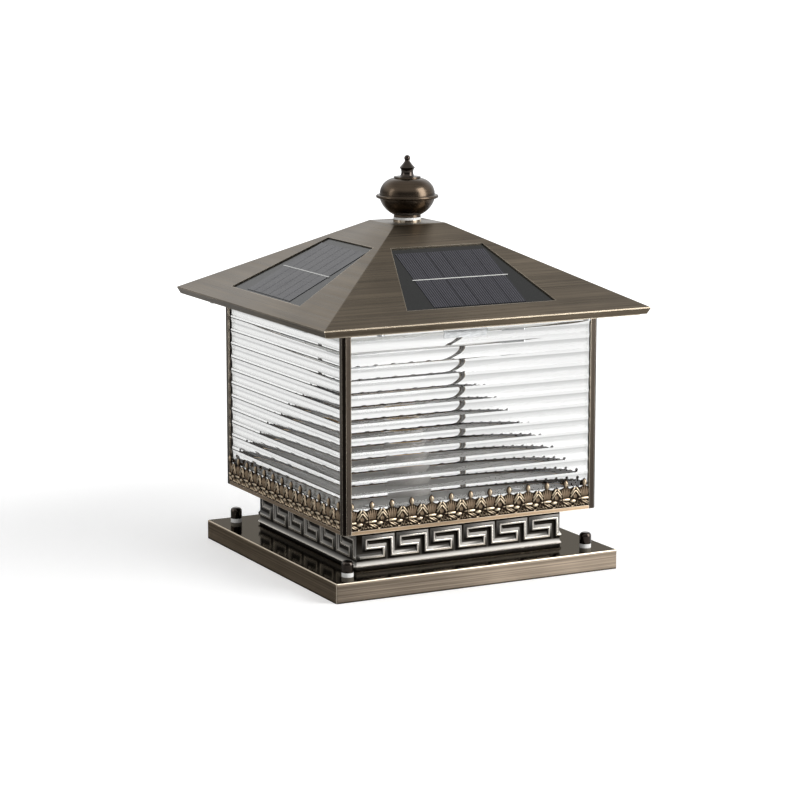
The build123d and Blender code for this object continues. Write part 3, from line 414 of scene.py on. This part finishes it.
def dark_gloss(name, colour_value):
    """Dark lacquered metal with a clear coat."""
    material, tree = new_finish(name)
    specks = grain(tree, place(tree), 420.0, 3.0)
    shade = vary(tree, specks, 0.8, 1.25)
    base = scaled(tree, colour_value, shade)
    rough = vary(tree, specks, 0.08, 0.16)
    surface(tree, base_color=base, metallic=1.0, roughness=rough, coat_weight=0.6, coat_roughness=0.06)
    return material


def antique_silver(name, worn, ground, relief):
    """Cast metal that is grey on the ground of its relief and worn bright on the crests of its ridges.

    Shade is painted black on the slopes that face down, and light is painted pale on those that face up.
    The recesses are black with patina and painted shade.
    """
    material, tree = new_finish(name)
    open_sky = node(tree, "ShaderNodeAmbientOcclusion", {"Distance": 4.0 * MM}, samples=12).outputs["AO"]
    clouds = grain(tree, place(tree), 160.0, 4.0)
    mottle = vary(tree, clouds, -0.06, 0.06)
    height = sums(tree, "ADD", standing_out(tree, ground, ground + relief), mottle)
    wear = spread(tree, height, 0.84, 0.96)
    tilt = split(tree, node(tree, "ShaderNodeTexCoord").outputs["Normal"])[2]
    # Painted shade and light: black where the surface faces down, pale where it faces up
    metal = tint(tree, spread(tree, tilt, -0.25, 0.40), DOWN_FACING_SHADE, GREY_PATINA)
    metal = tint(tree, spread(tree, tilt, 0.45, 0.80), metal, UP_FACING_LIGHT)
    # Patina and painted shade: black where the relief closes in over the surface
    metal = tint(tree, spread(tree, open_sky, 0.40, 0.75), RECESS_PATINA_AND_SHADE, metal)
    base = tint(tree, wear, metal, worn)
    rough = spread(tree, wear, 0.0, 1.0, 0.42, 0.27)
    normal = ripple(tree, clouds, 0.08 * MM, 0.4)
    surface(tree, base_color=base, metallic=1.0, roughness=rough, normal=normal)
    return material


def antique_gold(name, worn, ground, relief):
    """Cast metal that goes from black in the ground of its relief through brown to gold on the crests."""
    material, tree = new_finish(name)
    clouds = grain(tree, place(tree), 420.0, 4.0)
    mottle = vary(tree, clouds, -0.07, 0.07)
    height = sums(tree, "ADD", standing_out(tree, ground, ground + relief), mottle)
    brown = tint(tree, spread(tree, height, 0.05, 0.35), DARK_BROWN, BROWN)
    base = tint(tree, spread(tree, height, 0.68, 0.96), brown, worn)
    surface(tree, base_color=base, metallic=1.0, roughness=spread(tree, height, 0.2, 0.9, 0.45, 0.27))
    return material


def zinc_plate(name):
    material, tree = new_finish(name)
    cells = node(tree, "ShaderNodeTexVoronoi", {"Vector": place(tree), "Scale": 220.0}).outputs["Color"]
    spangle = spread(tree, split(tree, cells)[0], 0.0, 1.0, 0.85, 1.1)
    base = scaled(tree, (0.55, 0.56, 0.57), spangle)
    surface(tree, base_color=base, metallic=1.0, roughness=spread(tree, spangle, 0.85, 1.1, 0.3, 0.45))
    return material


def clear_glass(name, bending, flutes=False):
    """Clear glass or plastic that lets the light of lamps through.

    A fluted pane has painted dark lines along its ridges, for the dark refraction there, where it is seen
    aslant from outside. From inside its flutes are too faint to see, and sealant holds its ends.
    """
    material, tree = new_finish(name)
    behind = node(tree, "ShaderNodeNewGeometry").outputs["Backfacing"]
    glass = tint(tree, behind, GLASS, (1, 1, 1))
    rough = 0.0
    clear = 1.0
    straight = node(tree, "ShaderNodeLightPath").outputs["Is Shadow Ray"]
    if flutes:
        # Painted dark lines along the ridges stand in for the dark refraction seen there from outside
        tilt = facing(tree)[2]
        ridge_end = spread(tree, tilt, *RIDGE_ENDS, 1.0, 0.0)
        ridge = sums(tree, "MULTIPLY", spread(tree, tilt, *RIDGE_STARTS), ridge_end)
        aslant = node(tree, "ShaderNodeLayerWeight", {"Blend": 0.5}).outputs["Facing"]
        ridge = sums(tree, "MULTIPLY", ridge, spread(tree, aslant, *RIDGE_ASLANT))
        ridge = sums(tree, "MULTIPLY", ridge, sums(tree, "SUBTRACT", 1.0, behind))
        glass = tint(tree, ridge, glass, PAINTED_RIDGE_REFRACTION)
        out = split(tree, vector_sums(tree, "ABSOLUTE", place(tree)))
        sealant = sums(tree, "GREATER_THAN", sums(tree, "MINIMUM", out[0], out[1]), PANE_SEAL)
        glass = tint(tree, sealant, glass, SEALANT)
        rough = choose(tree, sealant, 0.0, 0.5)
        clear = sums(tree, "SUBTRACT", 1.0, sealant)
        fluted_face = standing_out(tree, FLUTED_FACE, FLUTED_FACE + 0.1 * MM)
        leaving = sums(tree, "MULTIPLY", fluted_face, sums(tree, "MULTIPLY", behind, clear))
        trapped = node(tree, "ShaderNodeFresnel", {"IOR": bending}).outputs[0]
        trapped = sums(tree, "MULTIPLY", sums(tree, "GREATER_THAN", trapped, 0.98), behind)
        straight = sums(tree, "MAXIMUM", straight, sums(tree, "MAXIMUM", leaving, trapped))
    shader = surface(tree, base_color=glass, roughness=rough, ior=bending, transmission_weight=clear,
                     specular_tint=GLINT)
    through = node(tree, "ShaderNodeBsdfTransparent")
    mixed = node(tree, "ShaderNodeMixShader", {0: straight, 1: shader.outputs[0], 2: through.outputs[0]})
    output = next(n for n in tree.nodes if n.type == "OUTPUT_MATERIAL")
    tree.links.new(mixed.outputs[0], output.inputs["Surface"])
    return material


def moulded(name, colour_value, roughness, fine=500.0, **more):
    """Plastic, rubber or ceramic with a faint mottled skin."""
    material, tree = new_finish(name)
    skin = grain(tree, place(tree), fine, 3.0)
    shade = vary(tree, skin, 0.92, 1.08)
    base = scaled(tree, colour_value, shade)
    rough = vary(tree, skin, roughness - 0.05, roughness + 0.05)
    surface(tree, base_color=base, roughness=rough, normal=ripple(tree, skin, 0.04 * MM, 0.4), **more)
    return material


def across_slope(tree):
    """Distance along the eave on each slope of the roof."""
    spot = split(tree, place(tree))
    face = facing(tree)
    return choose(tree, sums(tree, "GREATER_THAN", face[0], face[1]), spot[0], spot[1])


def silicon_cells(name):
    """Blue-black cells with fine silver fingers, and the bright ribbon across them."""
    material, tree = new_finish(name)
    low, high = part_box("solar_cells_front")
    pitch = (high.x - low.x) / FINGERS
    step = sums(tree, "FRACT", sums(tree, "DIVIDE", across_slope(tree), pitch))
    finger = sums(tree, "LESS_THAN", step, 0.35)
    clouds = grain(tree, place(tree), 60.0, 3.0)
    dark = tint(tree, vary(tree, clouds), (0.003, 0.003, 0.006), (0.006, 0.006, 0.011))
    cell = tint(tree, finger, dark, (0.055, 0.054, 0.068))
    middle = (low.z + high.z) / 2 + 0.26 * MM
    ribbon = sums(tree, "COMPARE", split(tree, place(tree))[2], middle, 0.30 * MM)
    base = tint(tree, ribbon, cell, (0.62, 0.62, 0.60))
    rough = vary(tree, clouds, 0.16, 0.26)
    surface(tree, base_color=base, roughness=rough, specular_ior_level=0.32)
    return material


def battery_wrap(name):
    material, tree = new_finish(name)
    end = sums(tree, "GREATER_THAN", facing(tree)[1], 0.9)
    clouds = grain(tree, place(tree), 90.0, 3.0)
    wrap = tint(tree, vary(tree, clouds), (0.03, 0.10, 0.32), (0.04, 0.14, 0.40))
    base = tint(tree, end, wrap, (0.6, 0.6, 0.6))
    surface(tree, base_color=base, metallic=end, roughness=vary(tree, clouds, 0.25, 0.35))
    return material


def board_finish(name, board, parts, level):
    """A circuit board whose parts stand above a level along Z."""
    material, tree = new_finish(name)
    clouds = grain(tree, place(tree), 300.0, 3.0)
    height = split(tree, place(tree))[2]
    part = sums(tree, "GREATER_THAN", height, level)
    base = tint(tree, part, board, parts)
    surface(tree, base_color=base, roughness=vary(tree, clouds, 0.3, 0.45))
    return material


# Mesh helpers


def finish_mesh(name, bm, material, body, slot, *nodes):
    """Turns a bmesh into a piece that rides on a body and stands for CAD nodes."""
    bmesh.ops.recalc_face_normals(bm, faces=bm.faces)
    mesh = bpy.data.meshes.new(name)
    for face in bm.faces:
        face.smooth = True
    bm.to_mesh(mesh)
    bm.free()
    mesh.set_sharp_from_angle(angle=SHARP_ANGLE)
    mesh.materials.append(material)
    piece = bpy.data.objects.new(name, mesh)
    bpy.context.scene.collection.objects.link(piece)
    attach(piece, body)
    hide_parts(*nodes)


def turn(bm, degrees):
    """Turns the whole mesh about the upright axis."""
    matrix = Matrix.Rotation(math.radians(degrees), 3, "Z")
    bmesh.ops.rotate(bm, cent=(0, 0, 0), matrix=matrix, verts=bm.verts)


def trim(bm, point, normal):
    """Cuts off what lies beyond a plane, and closes the cut."""
    everything = [*bm.verts, *bm.edges, *bm.faces]
    bmesh.ops.bisect_plane(bm, geom=everything, dist=1e-7, plane_co=point, plane_no=normal, clear_outer=True)
    bmesh.ops.holes_fill(bm, edges=[e for e in bm.edges if e.is_boundary], sides=0)


def bend(start, middle, end, count):
    """Points on the circle arc through three points, without the first."""
    (ax, ay), (bx, by), (cx, cy) = start, middle, end
    a, b, c = ax**2 + ay**2, bx**2 + by**2, cx**2 + cy**2
    area = 2 * (ax * (by - cy) + bx * (cy - ay) + cx * (ay - by))
    heart_x = (a * (by - cy) + b * (cy - ay) + c * (ay - by)) / area
    heart_y = (a * (cx - bx) + b * (ax - cx) + c * (bx - ax)) / area
    radius = math.hypot(ax - heart_x, ay - heart_y)
    first = math.atan2(ay - heart_y, ax - heart_x)
    through = (math.atan2(by - heart_y, bx - heart_x) - first) % math.tau
    sweep = (math.atan2(cy - heart_y, cx - heart_x) - first) % math.tau
    if through > sweep:
        sweep -= math.tau
    angles = [first + sweep * step / count for step in range(1, count + 1)]
    return [(heart_x + radius * math.cos(angle), heart_y + radius * math.sin(angle)) for angle in angles]


# Neck panels


def neck_ground(bm, sizes):
    """The moulded panel without its key, from corner to corner of the neck."""
    half = -NECK_LOW.y
    low, high = NECK_LOW.z, NECK_HIGH.z
    ground = half - sizes.ground
    lip = low + sizes.lip
    step = half - sizes.undercut
    section = [(half - sizes.wall, low), (step, low), (step, lip - 0.9 * MM)]
    section += bend(section[-1], (half - 0.25 * MM, lip - 0.55 * MM), (half, lip), 5)
    hollow = (half - 0.72 * sizes.ground, lip + 0.32 * sizes.cove)
    section += bend((half, lip), hollow, (ground, lip + sizes.cove), 8)
    section += [(ground, high - 2 * sizes.head), (half, high - sizes.head)]
    section += [(half, high), (half - sizes.wall, high)]
    verts = [bm.verts.new((-half, -out, z)) for out, z in section]
    end = bm.faces.new(verts)
    grown = bmesh.ops.extrude_face_region(bm, geom=[end])
    far = [v for v in grown["geom"] if isinstance(v, bmesh.types.BMVert)]
    bmesh.ops.translate(bm, vec=(2 * half, 0, 0), verts=far)


def key_path(sizes):
    """The corners of the running key as one line, in x and z."""
    low = NECK_LOW.z + sizes.key_low
    middle = low + sizes.key_height / 2
    high = low + sizes.key_height
    half = -NECK_LOW.y
    count = math.ceil((2 * half - sizes.key_start) / sizes.key_pitch)
    points = []
    for unit in range(count):
        left = -half + sizes.key_start + unit * sizes.key_pitch
        hook_left = left + sizes.key_hook_left
        hook_right = left + sizes.key_hook_right
        points += [(left, low), (hook_right, low), (hook_right, middle), (hook_left, middle)]
        points += [(hook_left, high), (left + sizes.key_pitch, high)]
    return points


def key_ridge(bm, sizes):
    """The key as a ribbon with square corners, raised with hollow sides and a rounded crest."""
    path = [Vector(point) for point in key_path(sizes)]
    root = NECK_LOW.y + sizes.ground + sizes.ridge_root
    half_width = sizes.ridge_width / 2
    ways = [(b - a).normalized() for a, b in zip(path, path[1:])]
    ways = [ways[0], *ways, ways[-1]]
    rails = []
    for point, before, after in zip(path, ways, ways[1:]):
        lean = Vector((-before.y, before.x)) + Vector((-after.y, after.x))
        lean *= half_width / (1 if before != after else 2)
        rails.append([bm.verts.new((p.x, root, p.y)) for p in (point + lean, point - lean)])
    faces = [bm.faces.new((a[0], a[1], b[1], b[0])) for a, b in zip(rails, rails[1:])]
    grown = bmesh.ops.extrude_face_region(bm, geom=faces)["geom"]
    foot = [g for g in grown if isinstance(g, bmesh.types.BMVert)]
    bmesh.ops.translate(bm, vec=(0, -sizes.ridge_root, 0), verts=foot)
    crest = [g for g in grown if isinstance(g, bmesh.types.BMFace)]
    bmesh.ops.recalc_face_normals(bm, faces=bm.faces)
    steep = sizes.ridge_height - sizes.apron_height
    for width, rise in ((sizes.ridge_apron, sizes.apron_height), (sizes.ridge_flank, steep)):
        bmesh.ops.inset_region(bm, faces=crest, thickness=width, depth=rise, use_boundary=True,
                               use_even_offset=True)
    rims = {e for f in crest for e in f.edges if not set(e.link_faces) <= set(crest)}
    bmesh.ops.bevel(bm, geom=list(rims), offset=sizes.ridge_round, segments=2, profile=0.5, affect="EDGES",
                    material=-1)


class PAGODA_OT_neck(bpy.types.Operator):
    """Casts the four neck panels with their running key"""

    bl_idname = "pagoda.neck"
    bl_label = "Neck panels"

    def execute(self, context):
        sizes = context.scene.pagoda_light.neck
        finish = bpy.data.materials["worn_silver"]
        half = -NECK_LOW.y
        for side, degrees in SIDES.items():
            bm = bmesh.new()
            neck_ground(bm, sizes)
            key_ridge(bm, sizes)
            for way in (-1, 1):
                trim(bm, (0, 0, 0), (way, 1, 0))
                trim(bm, (way * (half - sizes.corner), -half, 0), (way, -1, 0))
            turn(bm, degrees)
            name = f"key_panel_{side}"
            finish_mesh(name, bm, finish, "lantern", "antique_casting", f"neck_panel_{side}")
        return {"FINISHED"}


# Palmette frieze


def petal(bm, start, end, width, rise, belly=0.5, ground=0.0):
    """A pointed leaf that swells from the ground, from one point of the strip to another, in millimetres."""
    made = bmesh.ops.create_uvsphere(bm, u_segments=8, v_segments=7, radius=1.0)["verts"]
    for vert in made:
        t = (vert.co.z + 1) / 2
        keen = 1 - 0.35 * abs(vert.co.z)
        vert.co.x *= keen
        vert.co.z += (belly - 0.5) * 4 * t * (1 - t)
    a, b = Vector(start), Vector(end)
    run = b - a
    angle = math.atan2(run.x, run.y)
    scale = Matrix.Diagonal((width / 2, rise, run.length / 2, 1))
    middle = (a + b) / 2
    matrix = Matrix.Translation((middle.x, ground, middle.y)) @ Matrix.Rotation(angle, 4, "Y") @ scale
    bmesh.ops.transform(bm, matrix=matrix, verts=made)


def rounded_bar(bm, start, end, width, rise, ground=0.0):
    """A bar with rounded edges, from one point of the strip to another, in millimetres."""
    a, b = Vector(start), Vector(end)
    run = b - a
    middle = (a + b) / 2
    scale = Matrix.Diagonal((width, 2 * rise, run.length, 1))
    lean = Matrix.Rotation(math.atan2(run.x, run.y), 4, "Y")
    matrix = Matrix.Translation((middle.x, ground, middle.y)) @ lean @ scale
    made = bmesh.ops.create_cube(bm, size=1.0, matrix=matrix)["verts"]
    edges = list({e for v in made for e in v.link_edges})
    bmesh.ops.bevel(bm, geom=edges, offset=0.28 * width, segments=2, profile=0.5, affect="EDGES",
                    material=-1)


def tendril(bm, heart, radius, tube, start, sweep, shrink=1.0, steps=12):
    """A round stem that winds about a point, drawn by turning and shrinking the end ring of a tube."""
    ring = bmesh.ops.create_circle(bm, segments=6, radius=tube)["verts"]
    edges = list({e for v in ring for e in v.link_edges})
    bmesh.ops.rotate(bm, cent=(0, 0, 0), matrix=Matrix.Rotation(math.pi / 2, 3, "Y"), verts=ring)
    middle = Vector((heart[0], -STEM_LIFT, heart[1]))
    bmesh.ops.translate(bm, vec=middle + Vector((0, 0, -radius)), verts=ring)
    bmesh.ops.rotate(bm, cent=middle, matrix=Matrix.Rotation(math.radians(start), 3, "Y"), verts=ring)
    first = edges
    step = Matrix.Rotation(math.radians(sweep / steps), 3, "Y")
    for _ in range(steps):
        grown = bmesh.ops.extrude_edge_only(bm, edges=edges)["geom"]
        ring = [g for g in grown if isinstance(g, bmesh.types.BMVert)]
        edges = [g for g in grown if isinstance(g, bmesh.types.BMEdge)]
        bmesh.ops.rotate(bm, cent=middle, matrix=step, verts=ring)
        bmesh.ops.scale(bm, vec=(shrink, 1, shrink), space=Matrix.Translation(-middle), verts=ring)
    bmesh.ops.edgeloop_fill(bm, edges=first)
    bmesh.ops.edgeloop_fill(bm, edges=edges)


def palmette(bm):
    """One unit of the frieze about its bud, in millimetres.

    A ribbed body stands on a bar and bears a bud, slanting leaves make a gable with those of the next unit,
    and an eye and curling stems run along the foot.
    """
    for across, top in ((-3.8, 15.4), (-1.9, 16.6), (0, 17.0), (1.9, 16.6), (3.8, 15.4)):
        petal(bm, (0.55 * across, 7.2), (across, top), 1.9, 0.8, 0.56)
    petal(bm, (0, 16.4), (0, 23.0), 4.4, 1.6, 0.55)
    rounded_bar(bm, (-3.6, 6.7), (3.6, 6.7), 1.9, 1.5)
    for hand in (-1, 1):
        rounded_bar(bm, (4.3 * hand, 11.2), (8.5 * hand, 16.6), 1.25, 0.6, -STEM_LIFT)
        rounded_bar(bm, (4.4 * hand, 8.6), (8.9 * hand, 14.2), 1.25, 0.6, -STEM_LIFT)
    for across in (-1.5, 0, 1.5):
        petal(bm, (9.07 + 0.4 * across, 6.8), (9.07 + across, 12.4 - abs(across)), 1.7, 0.75, 0.5)
    petal(bm, (3.7, 5.0), (9.9, 5.2), 3.2, 0.85, 0.5, -STEM_LIFT)
    tendril(bm, (6.0, 3.1), 2.4, 0.5, 20, -130)
    tendril(bm, (12.6, 3.0), 2.3, 0.5, 150, -430, 0.93, 18)
    small_leaves = (
        ((-3.4, 5.4), (4.4, 1.0), 1.3, 0.5),
        ((-0.2, 5.0), (5.8, 1.9), 1.1, 0.5),
        ((-4.6, 3.4), (-2.6, 0.6), 1.2, 0.4),
        ((9.2, 3.2), (10.4, 0.4), 1.2, 0.4),
        ((11.6, 6.4), (14.4, 6.9), 1.1, 0.5),
        ((-2.6, 2.6), (0.4, 0.5), 1.1, 0.5),
    )
    for start, end, width, belly in small_leaves:
        petal(bm, start, end, width, 0.8, belly, -0.8 * STEM_LIFT)


class PAGODA_OT_frieze(bpy.types.Operator):
    """Carves the four palmette strips at the foot of the panes"""

    bl_idname = "pagoda.frieze"
    bl_label = "Palmette frieze"

    def execute(self, context):
        sizes = context.scene.pagoda_light.frieze
        half = FRIEZE_HIGH.x
        ground = FRIEZE_LOW.y + sizes.relief
        finish = bpy.data.materials["worn_gold"]
        unit = bmesh.new()
        palmette(unit)
        bmesh.ops.scale(unit, vec=(MM, MM, MM), verts=unit.verts)
        unit_mesh = bpy.data.meshes.new("palmette_unit")
        unit.to_mesh(unit_mesh)
        unit.free()
        count = math.ceil((2 * half - sizes.first_bud) / sizes.pitch + 0.5)
        run = bmesh.new()
        for number in range(count):
            known = len(run.verts)
            run.from_mesh(unit_mesh)
            run.verts.ensure_lookup_table()
            bud = half - sizes.first_bud - number * sizes.pitch
            bmesh.ops.translate(run, vec=(bud, ground, FRIEZE_LOW.z), verts=run.verts[known:])
        for way in (-1, 1):
            trim(run, (way * half, 0, 0), (way, 0, 0))
        run_mesh = bpy.data.meshes.new("palmette_run")
        run.to_mesh(run_mesh)
        run.free()
        for side, degrees in SIDES.items():
            carving = bmesh.new()
            carving.from_mesh(NODES["frieze_front"].data)
            for vert in carving.verts:
                vert.co.y = max(vert.co.y, ground)
            bmesh.ops.remove_doubles(carving, verts=carving.verts, dist=1e-6)
            carving.from_mesh(run_mesh)
            turn(carving, degrees)
            name = f"palmette_strip_{side}"
            finish_mesh(name, carving, finish, "lantern", "gilt_casting", f"frieze_{side}")
        bpy.data.meshes.remove(unit_mesh)
        bpy.data.meshes.remove(run_mesh)
        return {"FINISHED"}


# Finishes of the frame's own pieces


class PAGODA_OT_finishes(bpy.types.Operator):
    """Gives every piece of the frame the finish of its material"""

    bl_idname = "pagoda.finishes"
    bl_label = "Finishes"

    def execute(self, context):
        settings = context.scene.pagoda_light
        colours = settings.colours
        neck = settings.neck
        relief = settings.frieze.relief
        edge = colours.edge
        board_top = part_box("controller_board")[0].z + 7.7 * MM
        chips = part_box("led_board")[1].z - 1.65 * MM
        finishes = {
            "bronze_sheet": brushed_bronze("bronze_sheet", colours.roof, edge, 0.30),
            "polished_bronze": brushed_bronze("polished_bronze", colours.base, edge, 0.34,
                                              polished_top=True),
            "dark_bronze": spun_bronze("dark_bronze", colours.spun),
            "zinc_steel": zinc_plate("zinc_steel"),
            "fluted_glass": clear_glass("fluted_glass", 1.5, flutes=True),
            "clear_acrylic": clear_glass("clear_acrylic", 1.02),
            "panel_board": moulded("panel_board", (0.006, 0.0065, 0.006), 0.2, specular_ior_level=0.28),
            "silicon_cells": silicon_cells("silicon_cells"),
            "white_nylon": moulded("white_nylon", (0.86, 0.86, 0.84), 0.4),
            "white_ceramic": moulded("white_ceramic", (0.22, 0.21, 0.198), 0.25, coat_weight=0.3),
            "brass": moulded("brass", (0.72, 0.50, 0.20), 0.28, metallic=1.0),
            "wire_insulation": moulded("wire_insulation", (0.35, 0.08, 0.05), 0.4),
            "black_rubber": moulded("black_rubber", (0.02, 0.02, 0.02), 0.65),
            "black_plastic": moulded("black_plastic", (0.025, 0.025, 0.027), 0.42),
            "frosted_plastic": moulded("frosted_plastic", (0.92, 0.92, 0.90), 0.5, fine=2500.0,
                                       transmission_weight=0.15),
            "led_board": board_finish("led_board", (0.80, 0.66, 0.22), (0.78, 0.78, 0.76), chips),
            "battery_wrap": battery_wrap("battery_wrap"),
            "circuit_board": board_finish("circuit_board", (0.02, 0.14, 0.06), (0.05, 0.05, 0.055),
                                          board_top),
            "antique_casting": antique_silver("worn_silver", colours.casting, -NECK_LOW.y - neck.ground,
                                              neck.ridge_height),
            "gilt_casting": antique_gold("worn_gold", colours.gilt, -FRIEZE_LOW.y - relief, relief),
        }
        lacquer = dark_gloss("lacquered_bronze", colours.gloss)
        post = brushed_bronze("post_bronze", colours.post, edge, 0.30, upright=True)
        special = {
            "acorn_nuts": lacquer,
            "finial_spire": lacquer,
            "floor_tray": brushed_bronze("rail_bronze", colours.rail, edge, 0.34, paint=GREY_PAINT),
            "ceiling_plate": brushed_bronze("lined_sheet", colours.roof, edge, 0.34, paint=WHITE_PAINT),
        }
        special |= {f"corner_post_{side}": post for side in SIDES}
        for row in frame["record"]["subparts"]:
            piece = NODES[row["node"]]
            finish = special.get(row["node"], finishes[row["material_slot"]])
            if piece.material_slots:
                piece.material_slots[0].material = finish
            else:
                piece.data.materials.append(finish)
        return {"FINISHED"}


# Stage


def softbox(name, where, aim, wide, high, watts):
    """A soft lamp turned towards a point."""
    lamp = bpy.data.lights.new(name, "AREA")
    lamp.shape = "RECTANGLE"
    lamp.size = wide
    lamp.size_y = high
    lamp.energy = watts
    holder = bpy.data.objects.new(name, lamp)
    holder.location = where
    holder.rotation_euler = (Vector(aim) - Vector(where)).to_track_quat("-Z", "Y").to_euler()
    bpy.context.scene.collection.objects.link(holder)


def background_rays(tree):
    """1 for rays that show the background straight or through glass, and 1 for those that metal mirrors."""
    path = node(tree, "ShaderNodeLightPath").outputs
    return sums(tree, "MAXIMUM", path["Is Camera Ray"], path["Is Transmission Ray"]), path["Is Glossy Ray"]


def studio_world(yaw):
    """A white room that metal shows dark behind the camera, low on the left and overhead."""
    world = bpy.data.worlds.new("studio")
    world.use_nodes = True
    tree = world.node_tree
    tree.nodes.clear()
    way = node(tree, "ShaderNodeTexCoord").outputs["Generated"]
    level = vector_sums(tree, "MULTIPLY", way, (1, 1, 0))
    level = vector_sums(tree, "NORMALIZE", level)
    towards = (-math.sin(yaw), -math.cos(yaw), 0)
    front = vector_sums(tree, "DOT_PRODUCT", level, towards, output="Value")
    left = vector_sums(tree, "DOT_PRODUCT", level, CARD_WAY, output="Value")
    height = split(tree, way)[2]
    room = spread(tree, front, 0.30, 0.80, 1.0, ROOM_BEHIND)
    room = choose(tree, spread(tree, height, 0.35, 0.75), room, 1.0)
    room = sums(tree, "MULTIPLY", room, spread(tree, height, 0.20, 0.45, 0.80, 1.12))
    room = sums(tree, "MULTIPLY", room, spread(tree, height, 0.55, 0.80, 1.0, 0.60))
    card = sums(tree, "MULTIPLY", spread(tree, left, 0.45, 0.85), spread(tree, height, 0.12, 0.36, 1.0, 0.0))
    room = choose(tree, card, room, LEFT_CARD)
    direct, mirrored = background_rays(tree)
    value = choose(tree, direct, choose(tree, mirrored, PLAIN_LIGHT, room), 1.0)
    back = node(tree, "ShaderNodeBackground", {"Color": (1, 1, 1, 1), "Strength": value})
    node(tree, "ShaderNodeOutputWorld", {"Surface": back.outputs[0]})
    bpy.context.scene.world = world


def pale_floor(size):
    """A white floor that keeps the shadow of the light, and is dim at the light's left where metal shows it.

    It glows where the camera sees it, and the more so the farther it is. Behind glass it glows less at the
    light's right.
    """
    material, tree = new_finish("pale_floor")
    direct, mirrored = background_rays(tree)
    away = vector_sums(tree, "LENGTH", place(tree), output="Value")
    clouds = grain(tree, place(tree), 3.0, 2.0)
    tone = vary(tree, clouds, 0.79, 0.81)
    aside = split(tree, place(tree))[0]
    dim = spread(tree, aside, -0.25, 0.25, 0.42, 1.0)
    dim = choose(tree, spread(tree, away, 0.45, 0.9), dim, 1.0)
    tone = sums(tree, "MULTIPLY", tone, choose(tree, mirrored, 1.0, dim))
    base = node(tree, "ShaderNodeCombineXYZ", {0: tone, 1: tone, 2: tone}).outputs[0]
    through_glass = node(tree, "ShaderNodeLightPath").outputs["Is Transmission Ray"]
    glow = sums(tree, "MULTIPLY", direct, spread(tree, away, 0.35, 1.2, 0.40, 0.9))
    glow = choose(tree, through_glass, glow, spread(tree, aside, 0.35, 0.65, 0.42, 0.20))
    surface(tree, base_color=base, roughness=0.9, emission_color=(1, 1, 1), emission_strength=glow)
    bm = bmesh.new()
    bmesh.ops.create_grid(bm, x_segments=4, y_segments=4, size=size)
    mesh = bpy.data.meshes.new("floor")
    bm.to_mesh(mesh)
    bm.free()
    mesh.materials.append(material)
    floor = bpy.data.objects.new("floor", mesh)
    bpy.context.scene.collection.objects.link(floor)


class PAGODA_OT_stage(bpy.types.Operator):
    """Sets the floor, the soft light and the camera"""

    bl_idname = "pagoda.stage"
    bl_label = "Stage"

    def execute(self, context):
        scene = context.scene
        sizes = scene.pagoda_light.stage
        scene.view_settings.view_transform = "Standard"
        studio_world(sizes.yaw)
        pale_floor(size=40.0)
        middle = (0, 0, sizes.aim)
        softbox("key_softbox", where=(1.35, -1.5, 0.95), aim=middle, wide=1.15, high=2.0, watts=46)
        softbox("side_softbox", where=(-2.0, 0.4, 0.9), aim=middle, wide=0.5, high=1.4, watts=5)
        reach = math.cos(sizes.pitch)
        ahead = Vector((math.sin(sizes.yaw) * reach, math.cos(sizes.yaw) * reach, -math.sin(sizes.pitch)))
        right = Vector((math.cos(sizes.yaw), -math.sin(sizes.yaw), 0))
        up = right.cross(ahead)
        camera = bpy.data.cameras.new("camera")
        camera.lens = sizes.lens
        holder = bpy.data.objects.new("camera", camera)
        turned = Matrix((right, up, -ahead)).transposed().to_4x4()
        spot = Vector((0, 0, sizes.aim)) - ahead * sizes.distance + right * sizes.aside + up * sizes.above
        holder.matrix_world = Matrix.Translation(spot) @ turned
        scene.collection.objects.link(holder)
        scene.camera = holder
        return {"FINISHED"}


# Panel and registration


class PAGODA_PT_panel(bpy.types.Panel):
    """Lists the steps that dress the light"""

    bl_idname = "PAGODA_PT_panel"
    bl_label = "Pagoda light"
    bl_space_type = "VIEW_3D"
    bl_region_type = "UI"
    bl_category = "Pagoda light"

    def draw(self, context):
        for operator in OPERATORS:
            self.layout.operator(operator.bl_idname)


OPERATORS = (PAGODA_OT_stage, PAGODA_OT_finishes, PAGODA_OT_neck, PAGODA_OT_frieze)
GROUPS = (NeckSizes, FriezeSizes, StageSizes, FinishColours, LightSettings)
CLASSES = (*GROUPS, *OPERATORS, PAGODA_PT_panel)


def register():
    for each in CLASSES:
        bpy.utils.register_class(each)
    bpy.types.Scene.pagoda_light = PointerProperty(type=LightSettings)


def unregister():
    del bpy.types.Scene.pagoda_light
    for each in reversed(CLASSES):
        bpy.utils.unregister_class(each)


def main():
    register()
    bpy.ops.pagoda.stage()
    bpy.ops.pagoda.finishes()
    bpy.ops.pagoda.neck()
    bpy.ops.pagoda.frieze()


if __name__ == "__main__":
    main()
